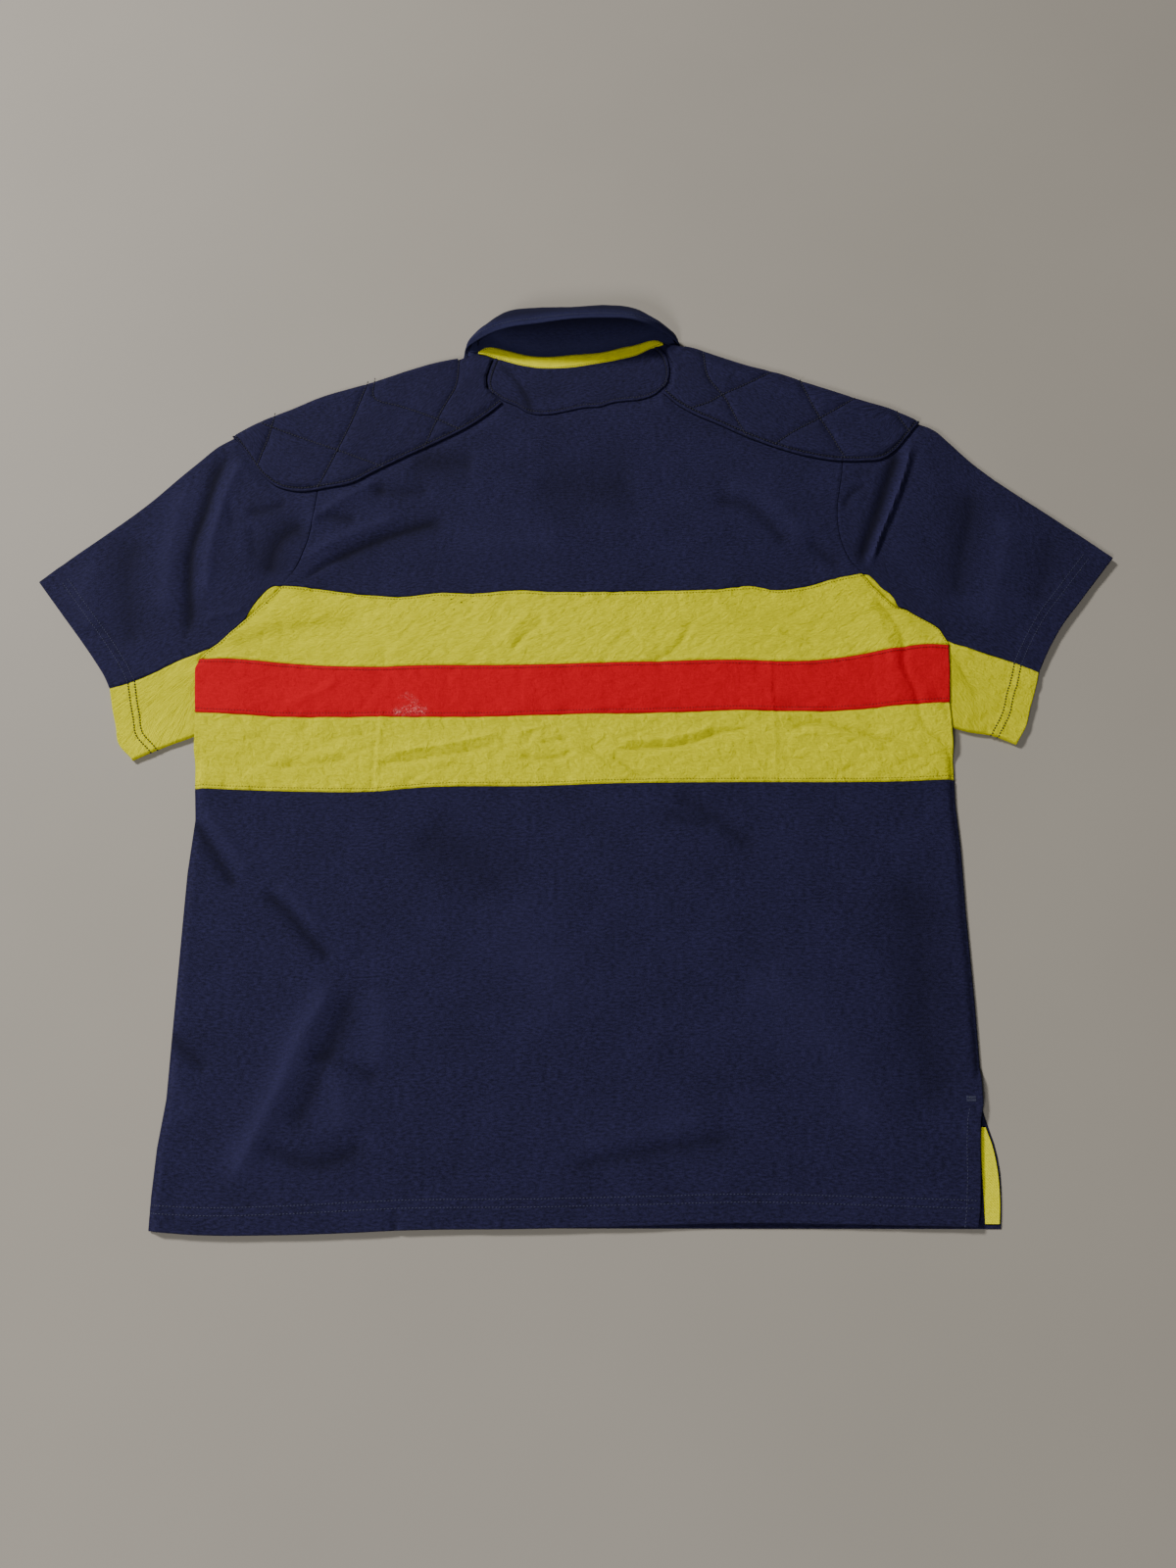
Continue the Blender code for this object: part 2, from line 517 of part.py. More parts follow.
def build_placket():
    """Button strip down the middle of the front with its buttons on the underside."""
    low, high = FRONT_ARMHOLE[4][1] + SEW, 305.8
    plan = patch(stepped(((-PLACKET_HALF, low), (PLACKET_HALF, low))),
                 stepped(((-PLACKET_HALF, high), (PLACKET_HALF, high))),
                 stepped(((-PLACKET_HALF, low), (-PLACKET_HALF, high))),
                 stepped(((PLACKET_HALF, low), (PLACKET_HALF, high))))
    laid_piece("placket", NAVY, even(1), even(10), plan, front_under, PLACKET)
    for number, y in enumerate(BUTTON_ROWS_Y, 1):
        mesh = bpy.data.meshes.new("button")
        bm = bmesh.new()
        bmesh.ops.create_cone(bm, cap_ends=True, segments=12, radius1=BUTTON_RADIUS * MM,
                              radius2=BUTTON_RADIUS * MM, depth=BUTTON_THICK * MM)
        bm.to_mesh(mesh)
        bm.free()
        button = add_object(f"button_{number}", mesh, HORN)
        middle = front_under(0, y) - SEAM - BUTTON_THICK / 2
        button.location = (0, (y + CENTRE_Y) * MM, middle * MM)


def build_sleeves():
    """Navy sleeve over its top fold and yellow panel round the underarm fold, each side."""
    for side, sign, back_armhole in (("left", -1, LEFT_ARMHOLE), ("right", 1, RIGHT_ARMHOLE)):
        curves = {key: mirrored(points, sign) for key, points in SLEEVE_TABLES[side].items()}
        front_armhole = mirrored(FRONT_ARMHOLE, sign)
        front_corner = front_armhole[3]
        cuff_corner = curves["colour_seam"][-1]
        front_seam = along(((front_corner[0] + sign * 2.5 * SEW, front_corner[1]), (sign * 345, 62), (sign * 395, 40), cuff_corner))
        shared = {"radius": FOLD_RADIUS, "top": sleeve_top, "under": front_under}
        upper = {
            **shared, "side": sign, "fold": along(curves["fold"]),
            "top_edge": moved(along(curves["colour_seam"]), 0, 1.5 * SEW),
            "low_edge": moved(front_seam, 0, 1.5 * SEW),
            "top_start": moved(along(back_armhole), sign * 2.5 * SEW, 0),
            "top_end": along(curves["cuff"][::-1]),
            "low_start": moved(stepped(front_armhole[:2:-1]), sign * 2.5 * SEW, 0),
            "low_end": along(curves["cuff"]),
        }
        rows = np.concatenate((ARMHOLE_ROWS, 1 + even(4)[1:], 2 + even(5)[1:]))
        folded_piece("sleeve_" + side, NAVY, even(10), rows, upper, CLOTH)
        lower = {
            **shared, "side": -sign, "fold": along(curves["underarm"]),
            "top_edge": moved(along(curves["colour_seam"]), 0, -1.5 * SEW),
            "low_edge": moved(front_seam, 0, -1.5 * SEW),
            "top_start": along(curves["hidden_edge"]), "top_end": along(curves["low_cuff"]),
            "low_start": moved(stepped(front_armhole[:4]), sign * 2.5 * SEW, 0),
            "low_end": along(curves["low_cuff"][::-1]),
        }
        rows = np.concatenate((even(3), 1 + even(3)[1:], 2 + even(3)[1:]))
        folded_piece("sleeve_under_" + side, YELLOW, even(10), rows, lower, CLOTH)


def build_pads():
    """Quilted pads over the shoulders and sleeve heads, turned under the shoulder fold."""
    for side, sign, edge, shoulder, end in (
            ("left", -1, LEFT_PAD_EDGE, LEFT_SHOULDER, LEFT_PAD_END),
            ("right", 1, RIGHT_PAD_EDGE, RIGHT_SHOULDER, RIGHT_PAD_END)):
        turned = [(sign * 136, shoulder[1][1] - PAD_TURN)]
        turned += [(x, y - PAD_TURN) for x, y in shoulder[2:-1]]
        turned.append((shoulder[-1][0], shoulder[-1][1] - PAD_TURN / 2))
        shape = {
            "radius": PAD_RADIUS, "side": sign, "top": pad_top, "under": lambda x, y: 0.0,
            "fold": along(shoulder), "top_edge": along(edge), "low_edge": along(turned),
            "top_start": stepped(end), "top_end": along((edge[-1], shoulder[-1])),
            "low_start": along((shoulder[0], turned[0])),
            "low_end": along((shoulder[-1], turned[-1])),
        }
        rows = np.concatenate((even(5), 1 + even(5)[1:], (3.0,)))
        folded_piece("shoulder_pad_" + side, NAVY, even(13), rows, shape, PAD)


def build_neck():
    """Patch below the neck seam and the tape over the seam."""
    def on_back(x, y):
        return body_under(x, y) + CLOTH + LAID_ON
    meeting = [point for point in TAPE_LOW if -82 < point[0] < 91]
    laid_piece("neck_patch", NAVY, even(12), even(4), patch(
        along(PATCH_LOW), moved(along(meeting), 0, -1.2), along(PATCH_LEFT),
        along(PATCH_RIGHT)), on_back)
    laid_piece("neck_tape", YELLOW, even(18), even(1), patch(
        across(TAPE_LOW), across(TAPE_HIGH), along((TAPE_LOW[0], TAPE_HIGH[0])),
        along((TAPE_LOW[-1], TAPE_HIGH[-1]))), on_back, TAPE)


def by_rows(column):
    """Smooth curve through one column of the collar table, read by the row's fraction."""
    values = np.array([row[column] for row in COLLAR_ROWS], float)
    return lambda u: hermite(even(len(values) - 1), values, u)


def build_collar():
    """Stand that rises from the neck seam and leaf that folds over it."""
    base, top, roll, far, edge = (by_rows(column) for column in range(5))
    last = len(COLLAR_ROWS) - 1
    stations = np.concatenate((np.arange(FRONT_ROWS), np.arange(FRONT_ROWS, last - FRONT_ROWS, 0.5),
                               np.arange(last - FRONT_ROWS, last + 1))) / last

    def stand_at(u, v):
        return (1 - v) * base(u) + v * top(u)

    def beyond(u):
        """Away from the stand's top edge, square to that edge."""
        edge_run = top(min(1.0, u + 0.005)) - top(max(0.0, u - 0.005))
        rise = top(u) - base(u)
        rise = rise - edge_run * np.dot(rise, edge_run) / np.dot(edge_run, edge_run)
        return rise / np.linalg.norm(rise)

    def leaf_at(u, row):
        start = top(u) + LEAF_START * beyond(u)
        corners = (start, roll(u), far(u), (far(u) + edge(u)) / 2, edge(u))
        return corners[int(row)]
    cloth("collar_stand", NAVY_TWILL, stations, even(2), stand_at, STAND, 0)
    cloth("collar_leaf", NAVY_TWILL, stations, range(5), leaf_at, LEAF, 0)


def build_vent():
    """Tape on the inside of the front's edge where the right side vent stands open."""
    left = ((344.5, -457), (345.5, -430), (346.5, -400), (348, -381))
    right = ((356, -457), (358, -440), (358.5, -415), (356, -395), (352, -381))
    plan = patch(along((left[0], right[0])), along((left[-1], right[-1])), along(left),
                 along(right))
    laid_piece("vent_tape", YELLOW, even(1), even(6), plan,
               lambda x, y: front_under(x, y) + CLOTH + SEAM, VENT_TAPE)


for old in list(bpy.data.objects):
    bpy.data.objects.remove(old, do_unlink=True)
garment = bpy.data.collections.new("polo_shirt")
bpy.context.scene.collection.children.link(garment)

build_back()
build_front()
build_placket()
build_sleeves()
build_pads()
build_neck()
build_collar()
build_vent()
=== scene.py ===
"""Striped polo shirt laid out face down, its back uppermost: cloth, seams, stitches and light.

Lengths are millimetres until a mesh is placed.  +X runs to the shirt's right-hand side as
seen here, +Y from the hem to the collar and +Z up, away from the floor.  The tables are
about the middle of the chest, and CENTRE_Y moves that point so that the origin is under the
middle of the whole garment.
"""
from itertools import product
from math import pi, radians

import bpy
import numpy as np
from mathutils import Matrix, Vector


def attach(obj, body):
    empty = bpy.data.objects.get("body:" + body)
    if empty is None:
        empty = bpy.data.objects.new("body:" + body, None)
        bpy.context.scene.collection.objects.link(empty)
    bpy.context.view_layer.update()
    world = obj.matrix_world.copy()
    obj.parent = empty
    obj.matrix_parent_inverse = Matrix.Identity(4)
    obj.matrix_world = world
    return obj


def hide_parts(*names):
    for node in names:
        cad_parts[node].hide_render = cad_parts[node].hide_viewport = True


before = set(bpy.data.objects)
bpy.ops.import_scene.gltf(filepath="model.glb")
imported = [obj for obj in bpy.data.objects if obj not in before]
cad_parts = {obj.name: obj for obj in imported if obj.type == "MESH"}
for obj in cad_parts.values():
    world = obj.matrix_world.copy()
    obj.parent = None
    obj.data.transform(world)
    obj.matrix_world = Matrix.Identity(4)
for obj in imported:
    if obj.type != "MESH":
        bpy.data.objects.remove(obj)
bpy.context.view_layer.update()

bpy.ops.object.select_all(action="DESELECT")

MM = 0.001
CENTRE_Y = 20.18

# Walls and the gaps between layers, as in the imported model
CLOTH = 1.2
PAD = 2.0
LEAF = 1.6
TAPE = 1.4
VENT_TAPE = 1.0
PLACKET = 1.6
SEAM = 0.3             # between layers that are sewn together
LAID_ON = 0.4          # under the pads and the neck patch
AIR = 1.6              # between the back and the front
SEAM_REACH = 9         # from a seam to where that air is full
# Both layers lie higher over the collar and the pads: from a y upwards and as far as an x on
# either side, each with the length of its slope
LIFT = 2.4
LIFT_Y = (130, 55)
LIFT_X = (400, 45)
# The back lies higher along its edges, over the sleeves: how far in, and between which y
TUCK = 1.9
TUCK_IN = 55
TUCK_Y_ENDS = (-60, 152)
FOLD_RADIUS = (2 * CLOTH + AIR) / 2
PAD_RADIUS = FOLD_RADIUS + LAID_ON + PAD
PAD_TURN = 15.0        # from the shoulder line to a pad's edge underneath
PLACKET_HALF = 16.0
NECK_CLEAR = 1.2       # from the collar's stand to the front's neckline
THINNEST = 0.05        # wall that a rounded edge or a groove leaves
LOWEST_STITCH = 0.02   # no stitch goes deeper than this height above the floor

LOFT = 2.2             # how much higher worn cloth lies than its pattern, between its seams
SINKS = 0.75           # share of the air below it that a trough may use up
LEVELS_OFF = 0.6       # height above its lowest place at which a trough levels off
CALM = 14              # distance in which folds die out before a pad or the neck patch

# Sewing
STITCH = 2.9           # one stitch and the space after it
THREAD = 0.84          # width of a stitch
COVER = 6.35           # between the two rows of a hem
HEM_ROWS = (21.0, 24.5, 24.0, 23.6, 21.4)   # hem to its upper row, from left to right
CUFF_HEM = 25.0        # cuff to its upper row
VENT_HEM = 12.0        # the other rows, each from the edge that it follows
TAPE_ROW = 1.8
COLLAR_ROW = 6.0
PAD_LINE = 4.3         # on the pads and the neck patch
TOPSTITCHING = {       # edge and distance from it of the rows beside the bands' seams
    "back_band_low": (("low", 3.6),),
    "back_band_middle": (("low", 4.0), ("high", 3.6)),
    "back_band_high": (("high", 3.0),),
}
DENT = 0.8             # half width of the dent under a row of stitches
PUCKERED = (0.4, 0.6)  # height of the puckers and depth of the dip at a cross seam
SMOOTH = (0.15, 0.25)  # the same at an upright seam
EDGE_ROLL = 1.1        # how far the cloth rounds down at a free edge

# Folds
FOLD_RISE = 1.7        # all folds' heights are multiplied by this
FOLD_POINT = 1.35      # 2 makes a round crest and 1 a sharp one
FOLD_ENDS = 0.16       # share of a fold's length in which it dies out at each end
FOLD_REACH = 2.6       # half widths from a fold to where it counts no longer
# For half widths below each limit: how much narrower and how high a fold is, as factors
FOLD_SHAPES = ((6, 0.6, 0.9), (11, 0.78, 1.0), (100, 1.0, 1.0))
# Unevenness of loose cloth, and of washed twill: height, lump's width and length, seed
WAVES = ((0.55, 95, 80, 1), (0.30, 42, 34, 2), (0.12, 17, 13, 3))
CRINKLES = ((0.50, 26, 9, 4), (0.40, 10, 6, 5), (0.16, 5, 4, 6))

# Seams across the body, (x, y) from left to right
HEM = ((-347, -466), (-310, -468.5), (-240, -468.5), (-180, -466.5), (-140, -464.5),
       (-30, -462.5), (60, -460), (140, -457.5), (230, -458), (338, -459.5))
LOW_YELLOW_SEAM = ((-349, -80), (-300, -82.5), (-240, -84.5), (-180, -84.5), (-140, -81),
                   (-20, -79.5), (20, -78), (160, -77), (300, -77), (354, -75))
RED_LOW_SEAM = ((-355.5, -5), (-320, -7), (-270, -10), (-180, -10.5), (-80, -11), (0, -9),
                (100, -7.5), (175, -6), (200, -7), (275, -6), (310, -2.5), (355.5, 0))
RED_TOP_SEAM = ((-357, 50), (-330, 50), (-280, 46), (-230, 42), (-185, 41), (-150, 42),
                (-60, 42), (80, 44.5), (175, 45), (200, 43.5), (260, 47), (300, 54),
                (340, 59.5), (360, 58.5))
CHEST_SEAM = ((-283, 127), (-240, 123), (-200, 117.5), (-170, 115), (-120, 118.5),
              (-88, 117.5), (-52, 120.5), (-15, 118.5), (60, 119), (140, 119.5),
              (176, 122.5), (200, 118), (225, 121), (260, 130), (283, 134))

# Side edges of the body, (y, x) from the hem upwards
LEFT_SIDE = ((-469, -347), (-440, -348), (-400, -347.5), (-360, -344), (-300, -345),
             (-200, -346.5), (-160, -347), (-110, -345), (-80, -348.5), (-40, -352.5),
             (-5, -355.5), (20, -358.5), (40, -360), (50, -357))
RIGHT_SIDE = ((-460, 338), (-445, 341), (-420, 344), (-395, 346), (-375, 348.5),
              (-362, 352), (-340, 352.5), (-280, 353.5), (-200, 353.5), (-140, 354.5),
              (-100, 353.5), (-75, 354.5), (-40, 355.5), (0, 355.5), (30, 358.5),
              (58, 360.5))
FRONT_VENT_SIDE = ((-461, 357.5), (-440, 360), (-415, 361), (-395, 358.5), (-378, 354),
                   (-362, 351))
VENT_TOP = -362

# The body's diagonal edge over the sleeve, from the red seam to the chest seam
LEFT_DIAGONAL = ((-357, 50), (-351, 57), (-340, 66.5), (-328, 79), (-316, 91),
                 (-308, 99), (-297, 112), (-283, 127))
RIGHT_DIAGONAL = ((360, 58.5), (357, 66), (352, 75), (345, 80.5), (335, 86.5),
                  (322, 95), (312, 99), (302, 109), (293, 120), (283, 134))

# Armhole seams of the back, from the chest seam to the shoulder
LEFT_ARMHOLE = ((-283, 127), (-271, 148), (-263, 170), (-258, 200), (-256, 236),
                (-258, 290), (-261.5, 339.5))
RIGHT_ARMHOLE = ((283, 134), (272, 150), (264, 175), (263, 205), (268, 235), (272, 262),
                 (268, 300), (262, 341.5))
# Armhole of the front, hidden, from the armpit up; points 1, 2 and 4 are on the bands' seams,
# and at point 3 the sleeve changes colour
FRONT_ARMHOLE = ((333.5, -18), (333, -5), (319, 51), (305, 86), (294, 121), (277, 170),
                 (268, 230), (264, 290), (262, 339.5))
ARMPIT = ((354, -29), (333.5, -18))

# Shoulder line of the pads, their edge on the back and their ends beside the neck
LEFT_SHOULDER = ((-120, 390.4), (-140, 386), (-170, 376.5), (-200, 365), (-230, 355),
                 (-260, 345), (-290, 330.5), (-320, 317), (-349, 299))
RIGHT_SHOULDER = ((117, 401.5), (125, 399.5), (150, 389), (180, 377), (215, 365.5),
                  (240, 355), (270, 343), (300, 331), (325, 321.5), (353, 306))
LEFT_PAD_EDGE = ((-71.5, 333.5), (-86, 320), (-100, 309), (-130, 291), (-170, 270),
                 (-200, 253.5), (-222, 241), (-245, 236), (-275, 232), (-297, 238),
                 (-312, 250), (-330, 275), (-345, 295))
RIGHT_PAD_EDGE = ((94, 342.5), (108, 328.5), (120, 320), (150, 304), (180, 288),
                  (205, 277), (235, 266.5), (260, 261), (292, 259.5), (311, 261.5),
                  (325, 271), (339, 288), (350, 302))
LEFT_PAD_END = ((-71.5, 333.5), (-88.5, 352), (-89.5, 366), (-83.5, 387.5), (-100, 391.8),
                (-120, 386.5))
RIGHT_PAD_END = ((94, 342.5), (103, 355), (104, 380), (96, 397), (100, 402.3),
                 (116, 397.5))
# Rows of quilting, each with the side of the pad that it is on
QUILTING = {
    -1: (((-205, 366), (-205, 342), (-178, 331), (-150, 320), (-113, 302)),
         ((-320, 313), (-283, 297), (-240, 280), (-190, 259)),
         ((-118, 386), (-122, 350), (-128, 338), (-137, 318), (-147, 290), (-150, 281)),
         ((-212, 362), (-217, 345), (-226, 315), (-238, 282), (-256, 236)),
         ((-306, 325), (-310, 300), (-320, 262))),
    1: (((120, 324), (140, 331), (155, 340), (175, 350), (205, 366)),
        ((203, 279), (225, 295), (250, 309), (290, 334)),
        ((136, 392), (140, 362), (157, 335), (170, 305), (177, 290)),
        ((234, 357), (238, 345), (250, 315), (262, 290), (275, 262)),
        ((330, 318), (332, 310), (342, 292))),
}

# Neck patch, and the tape over the neck seam
PATCH_LOW = ((-84.5, 348.5), (-70, 336), (-58, 330.5), (-45, 321.5), (-36, 319.3),
             (-20, 319.6), (-8, 322), (12, 326.5), (30, 328), (41, 332), (55, 334),
             (70, 335.5), (84, 341), (97.5, 354))
PATCH_LEFT = ((-84.5, 348.5), (-88, 359), (-86, 374), (-81, 388.5))
PATCH_RIGHT = ((97.5, 354), (101.5, 367), (101.5, 381), (98, 393), (91, 401.5))
TAPE_LOW = ((-98.5, 394.6), (-92, 393.2), (-81, 388.5), (-65, 382), (-50, 377.5),
            (-30, 374), (-10, 374.5), (20, 378.5), (50, 384), (70, 390), (80, 396),
            (88, 400), (94.5, 402.4))
TAPE_HIGH = ((-98, 396.9), (-91.5, 401.2), (-85, 402.4), (-78, 401.0), (-65, 397.0),
             (-50, 392.2), (-40, 390.4), (-25, 389.5), (0, 391.5), (30, 394), (50, 399), (70, 404),
             (80, 407.3), (88, 407.6), (94.5, 404.3))
BACK_TOP = ((-261.5, 339.5), (-236, 348.5), (-210, 357), (-185, 366.5), (-161, 375.5),
            (-137, 382.5), (-114.5, 386), (-103, 393.3), (-91.5, 402.3), (-76, 401.5),
            (-56, 392.5), (-36, 387.8), (-12, 388.8), (12, 390.5), (36, 393.3), (58, 399),
            (76, 405), (87.5, 407.8), (96, 403.4), (112, 395.8), (130, 392.6), (154, 382.5),
            (180, 372), (207, 363), (235, 352), (262, 341.5))

# Each sleeve is written for the right-hand side and mirrored by its sign
SLEEVE_TABLES = {
    "left": {
        "fold": ((263.2, 340.4), (290, 326.6), (320, 313.1), (348, 296.6), (362, 287),
                 (378, 272), (398, 253), (418, 231), (450, 201), (475, 180), (500, 159),
                 (527, 135)),
        "cuff": ((527, 135), (500, 101), (480, 76), (460, 50), (448, 33), (441, 20)),
        "low_cuff": ((441, 20), (436, 0), (430, -20), (425, -37), (411, -52)),
        "colour_seam": ((283.5, 128), (292, 127.5), (303, 118), (311, 105), (317, 92),
                        (328, 80), (340, 67), (360, 56.5), (380, 48), (400, 37),
                        (418, 28.5), (441, 20)),
        "underarm": ((335, -17), (355, -28), (378, -37), (395, -44.5), (411, -52)),
        "hidden_edge": ((283.5, 128), (290, 108), (303, 88), (320, 66), (333, 42),
                        (336, 10), (335, -17)),
    },
    "right": {
        "fold": ((263.2, 342.9), (292, 331), (322, 319.6), (352, 303.5), (362, 299),
                 (380, 281), (400, 259), (420, 240), (440, 223), (457, 209), (480, 190),
                 (503, 171), (527, 150)),
        "cuff": ((527, 150), (510, 129), (490, 104), (470, 79), (455, 55), (448, 42),
                 (442, 30)),
        "low_cuff": ((442, 30), (436, 10), (430, -5), (424, -24), (414, -41)),
        "colour_seam": ((283.5, 134.5), (290, 133), (295, 128), (302, 119), (310, 112),
                        (316, 100), (323, 96.5), (335, 87.5), (346, 81.5), (354, 75),
                        (358, 66), (380, 55.5), (400, 48), (420, 40), (442, 30)),
        "underarm": ((335, -13), (354, -22.5), (370, -28), (392, -32), (414, -41)),
        "hidden_edge": ((283.5, 134.5), (290, 112), (304, 90), (321, 68), (333, 46),
                        (336, 14), (335, -13)),
    },
}

# Collar, one row for each section from the left front end round the back to the right, each
# with five points (x, y, z) in the middle of the wall: base = seam to the neckline, top = the
# stand's other edge, roll and far = where the leaf turns over, edge = the leaf's free edge.
# The front ends mirror each other.
COLLAR_FRONT = (
    ((-2.5, 307.5, 3.3), (-3.5, 332, 3.3), (-3.6, 334.6, 2.2),
     (-3.6, 333.2, 1.1), (-58, 268, 1.1)),
    ((-26, 308.8, 3.3), (-23.5, 334, 3.3), (-23.2, 336.6, 2.2),
     (-23.4, 335.2, 1.1), (-71, 275, 1.1)),
    ((-54, 316, 3.3), (-47, 341, 3.3), (-46.3, 343.5, 2.2),
     (-46.7, 342.1, 1.1), (-90, 291, 1.1)),
)
COLLAR_ROWS = (
    *COLLAR_FRONT,
    ((-84, 336, 3.3), (-68, 357, 3.3), (-66.4, 359, 2.2),
     (-67.2, 357.9, 1.1), (-110, 321, 1.1)),
    ((-101.5, 362, 3.3), (-82, 380, 3.3), (-80, 381.8, 2.2),
     (-81, 380.9, 1.1), (-119, 352, 1.1)),
    ((-107, 383, 3.4), (-92.5, 403, 3.5), (-91, 405.2, 2.4),
     (-91.9, 404, 1.1), (-117, 380, 1.1)),
    ((-109.5, 394, 4.5), (-98.5, 407.5, 8), (-100.4, 410.8, 7.9),
     (-103.1, 408.9, 7.6), (-114.5, 395, 2)),
    ((-105, 402, 7.6), (-98.2, 410.3, 11.8), (-99.4, 412.6, 17),
     (-103.2, 409.2, 16.8), (-108.5, 400.5, 12)),
    ((-90, 409.2, 7.6), (-85, 417, 24), (-87.8, 416.8, 26.5),
     (-88.5, 414, 29.5), (-84, 404, 31)),
    ((-66, 400.8, 7.6), (-62, 417.5, 29.5), (-65, 424.3, 31.5),
     (-66, 424, 35.5), (-62.5, 406.5, 38.5)),
    ((-36, 392.2, 7.6), (-34, 418.5, 33), (-34, 426, 35.5),
     (-34.5, 425.3, 39.5), (-33.5, 407, 43)),
    ((0, 393.9, 7.6), (0, 419.5, 34), (0, 426.3, 36),
     (0, 424.5, 40.5), (0, 408.5, 47)),
    ((34, 397, 7.6), (33, 420.5, 34), (34, 427.5, 36),
     (34, 427, 39.5), (34, 410.5, 45.5)),
    ((66, 405.7, 7.6), (60, 421.5, 31), (62, 427, 33),
     (63, 426, 36), (61, 411.5, 41.5)),
    ((90, 413, 7.6), (83.5, 419.5, 22.5), (86, 419.5, 25.5),
     (87, 417.5, 28), (84, 410.5, 29.5)),
    ((102.5, 409.3, 7.6), (96.5, 416, 11.8), (97.2, 417.5, 16.2),
     (100.4, 414.7, 16), (106, 406, 10.5)),
    ((107.5, 402.5, 4.5), (98.8, 413, 7.3), (100.3, 415.9, 7.6),
     (103.4, 414.4, 6.9), (113, 402.5, 2)),
    ((105, 387, 3.4), (91.5, 407.5, 3.5), (90, 409.6, 2.4),
     (90.9, 408.4, 1.1), (115.5, 385, 1.1)),
    ((100.5, 364, 3.3), (82, 382, 3.3), (80, 383.8, 2.2),
     (81, 382.9, 1.1), (118, 354, 1.1)),
    ((84, 337, 3.3), (68, 358, 3.3), (66.4, 360, 2.2),
     (67.2, 358.9, 1.1), (110, 322, 1.1)),
    *(tuple((-x, y, z) for x, y, z in row) for row in COLLAR_FRONT[::-1]),
)
FRONT_ROWS = 5         # rows from the front end to the front's neck corner, at each end
SEWN_IN, TURN_STARTS, TURN_ENDS = -0.04, 0.34, 0.5   # shares of the way from base to edge

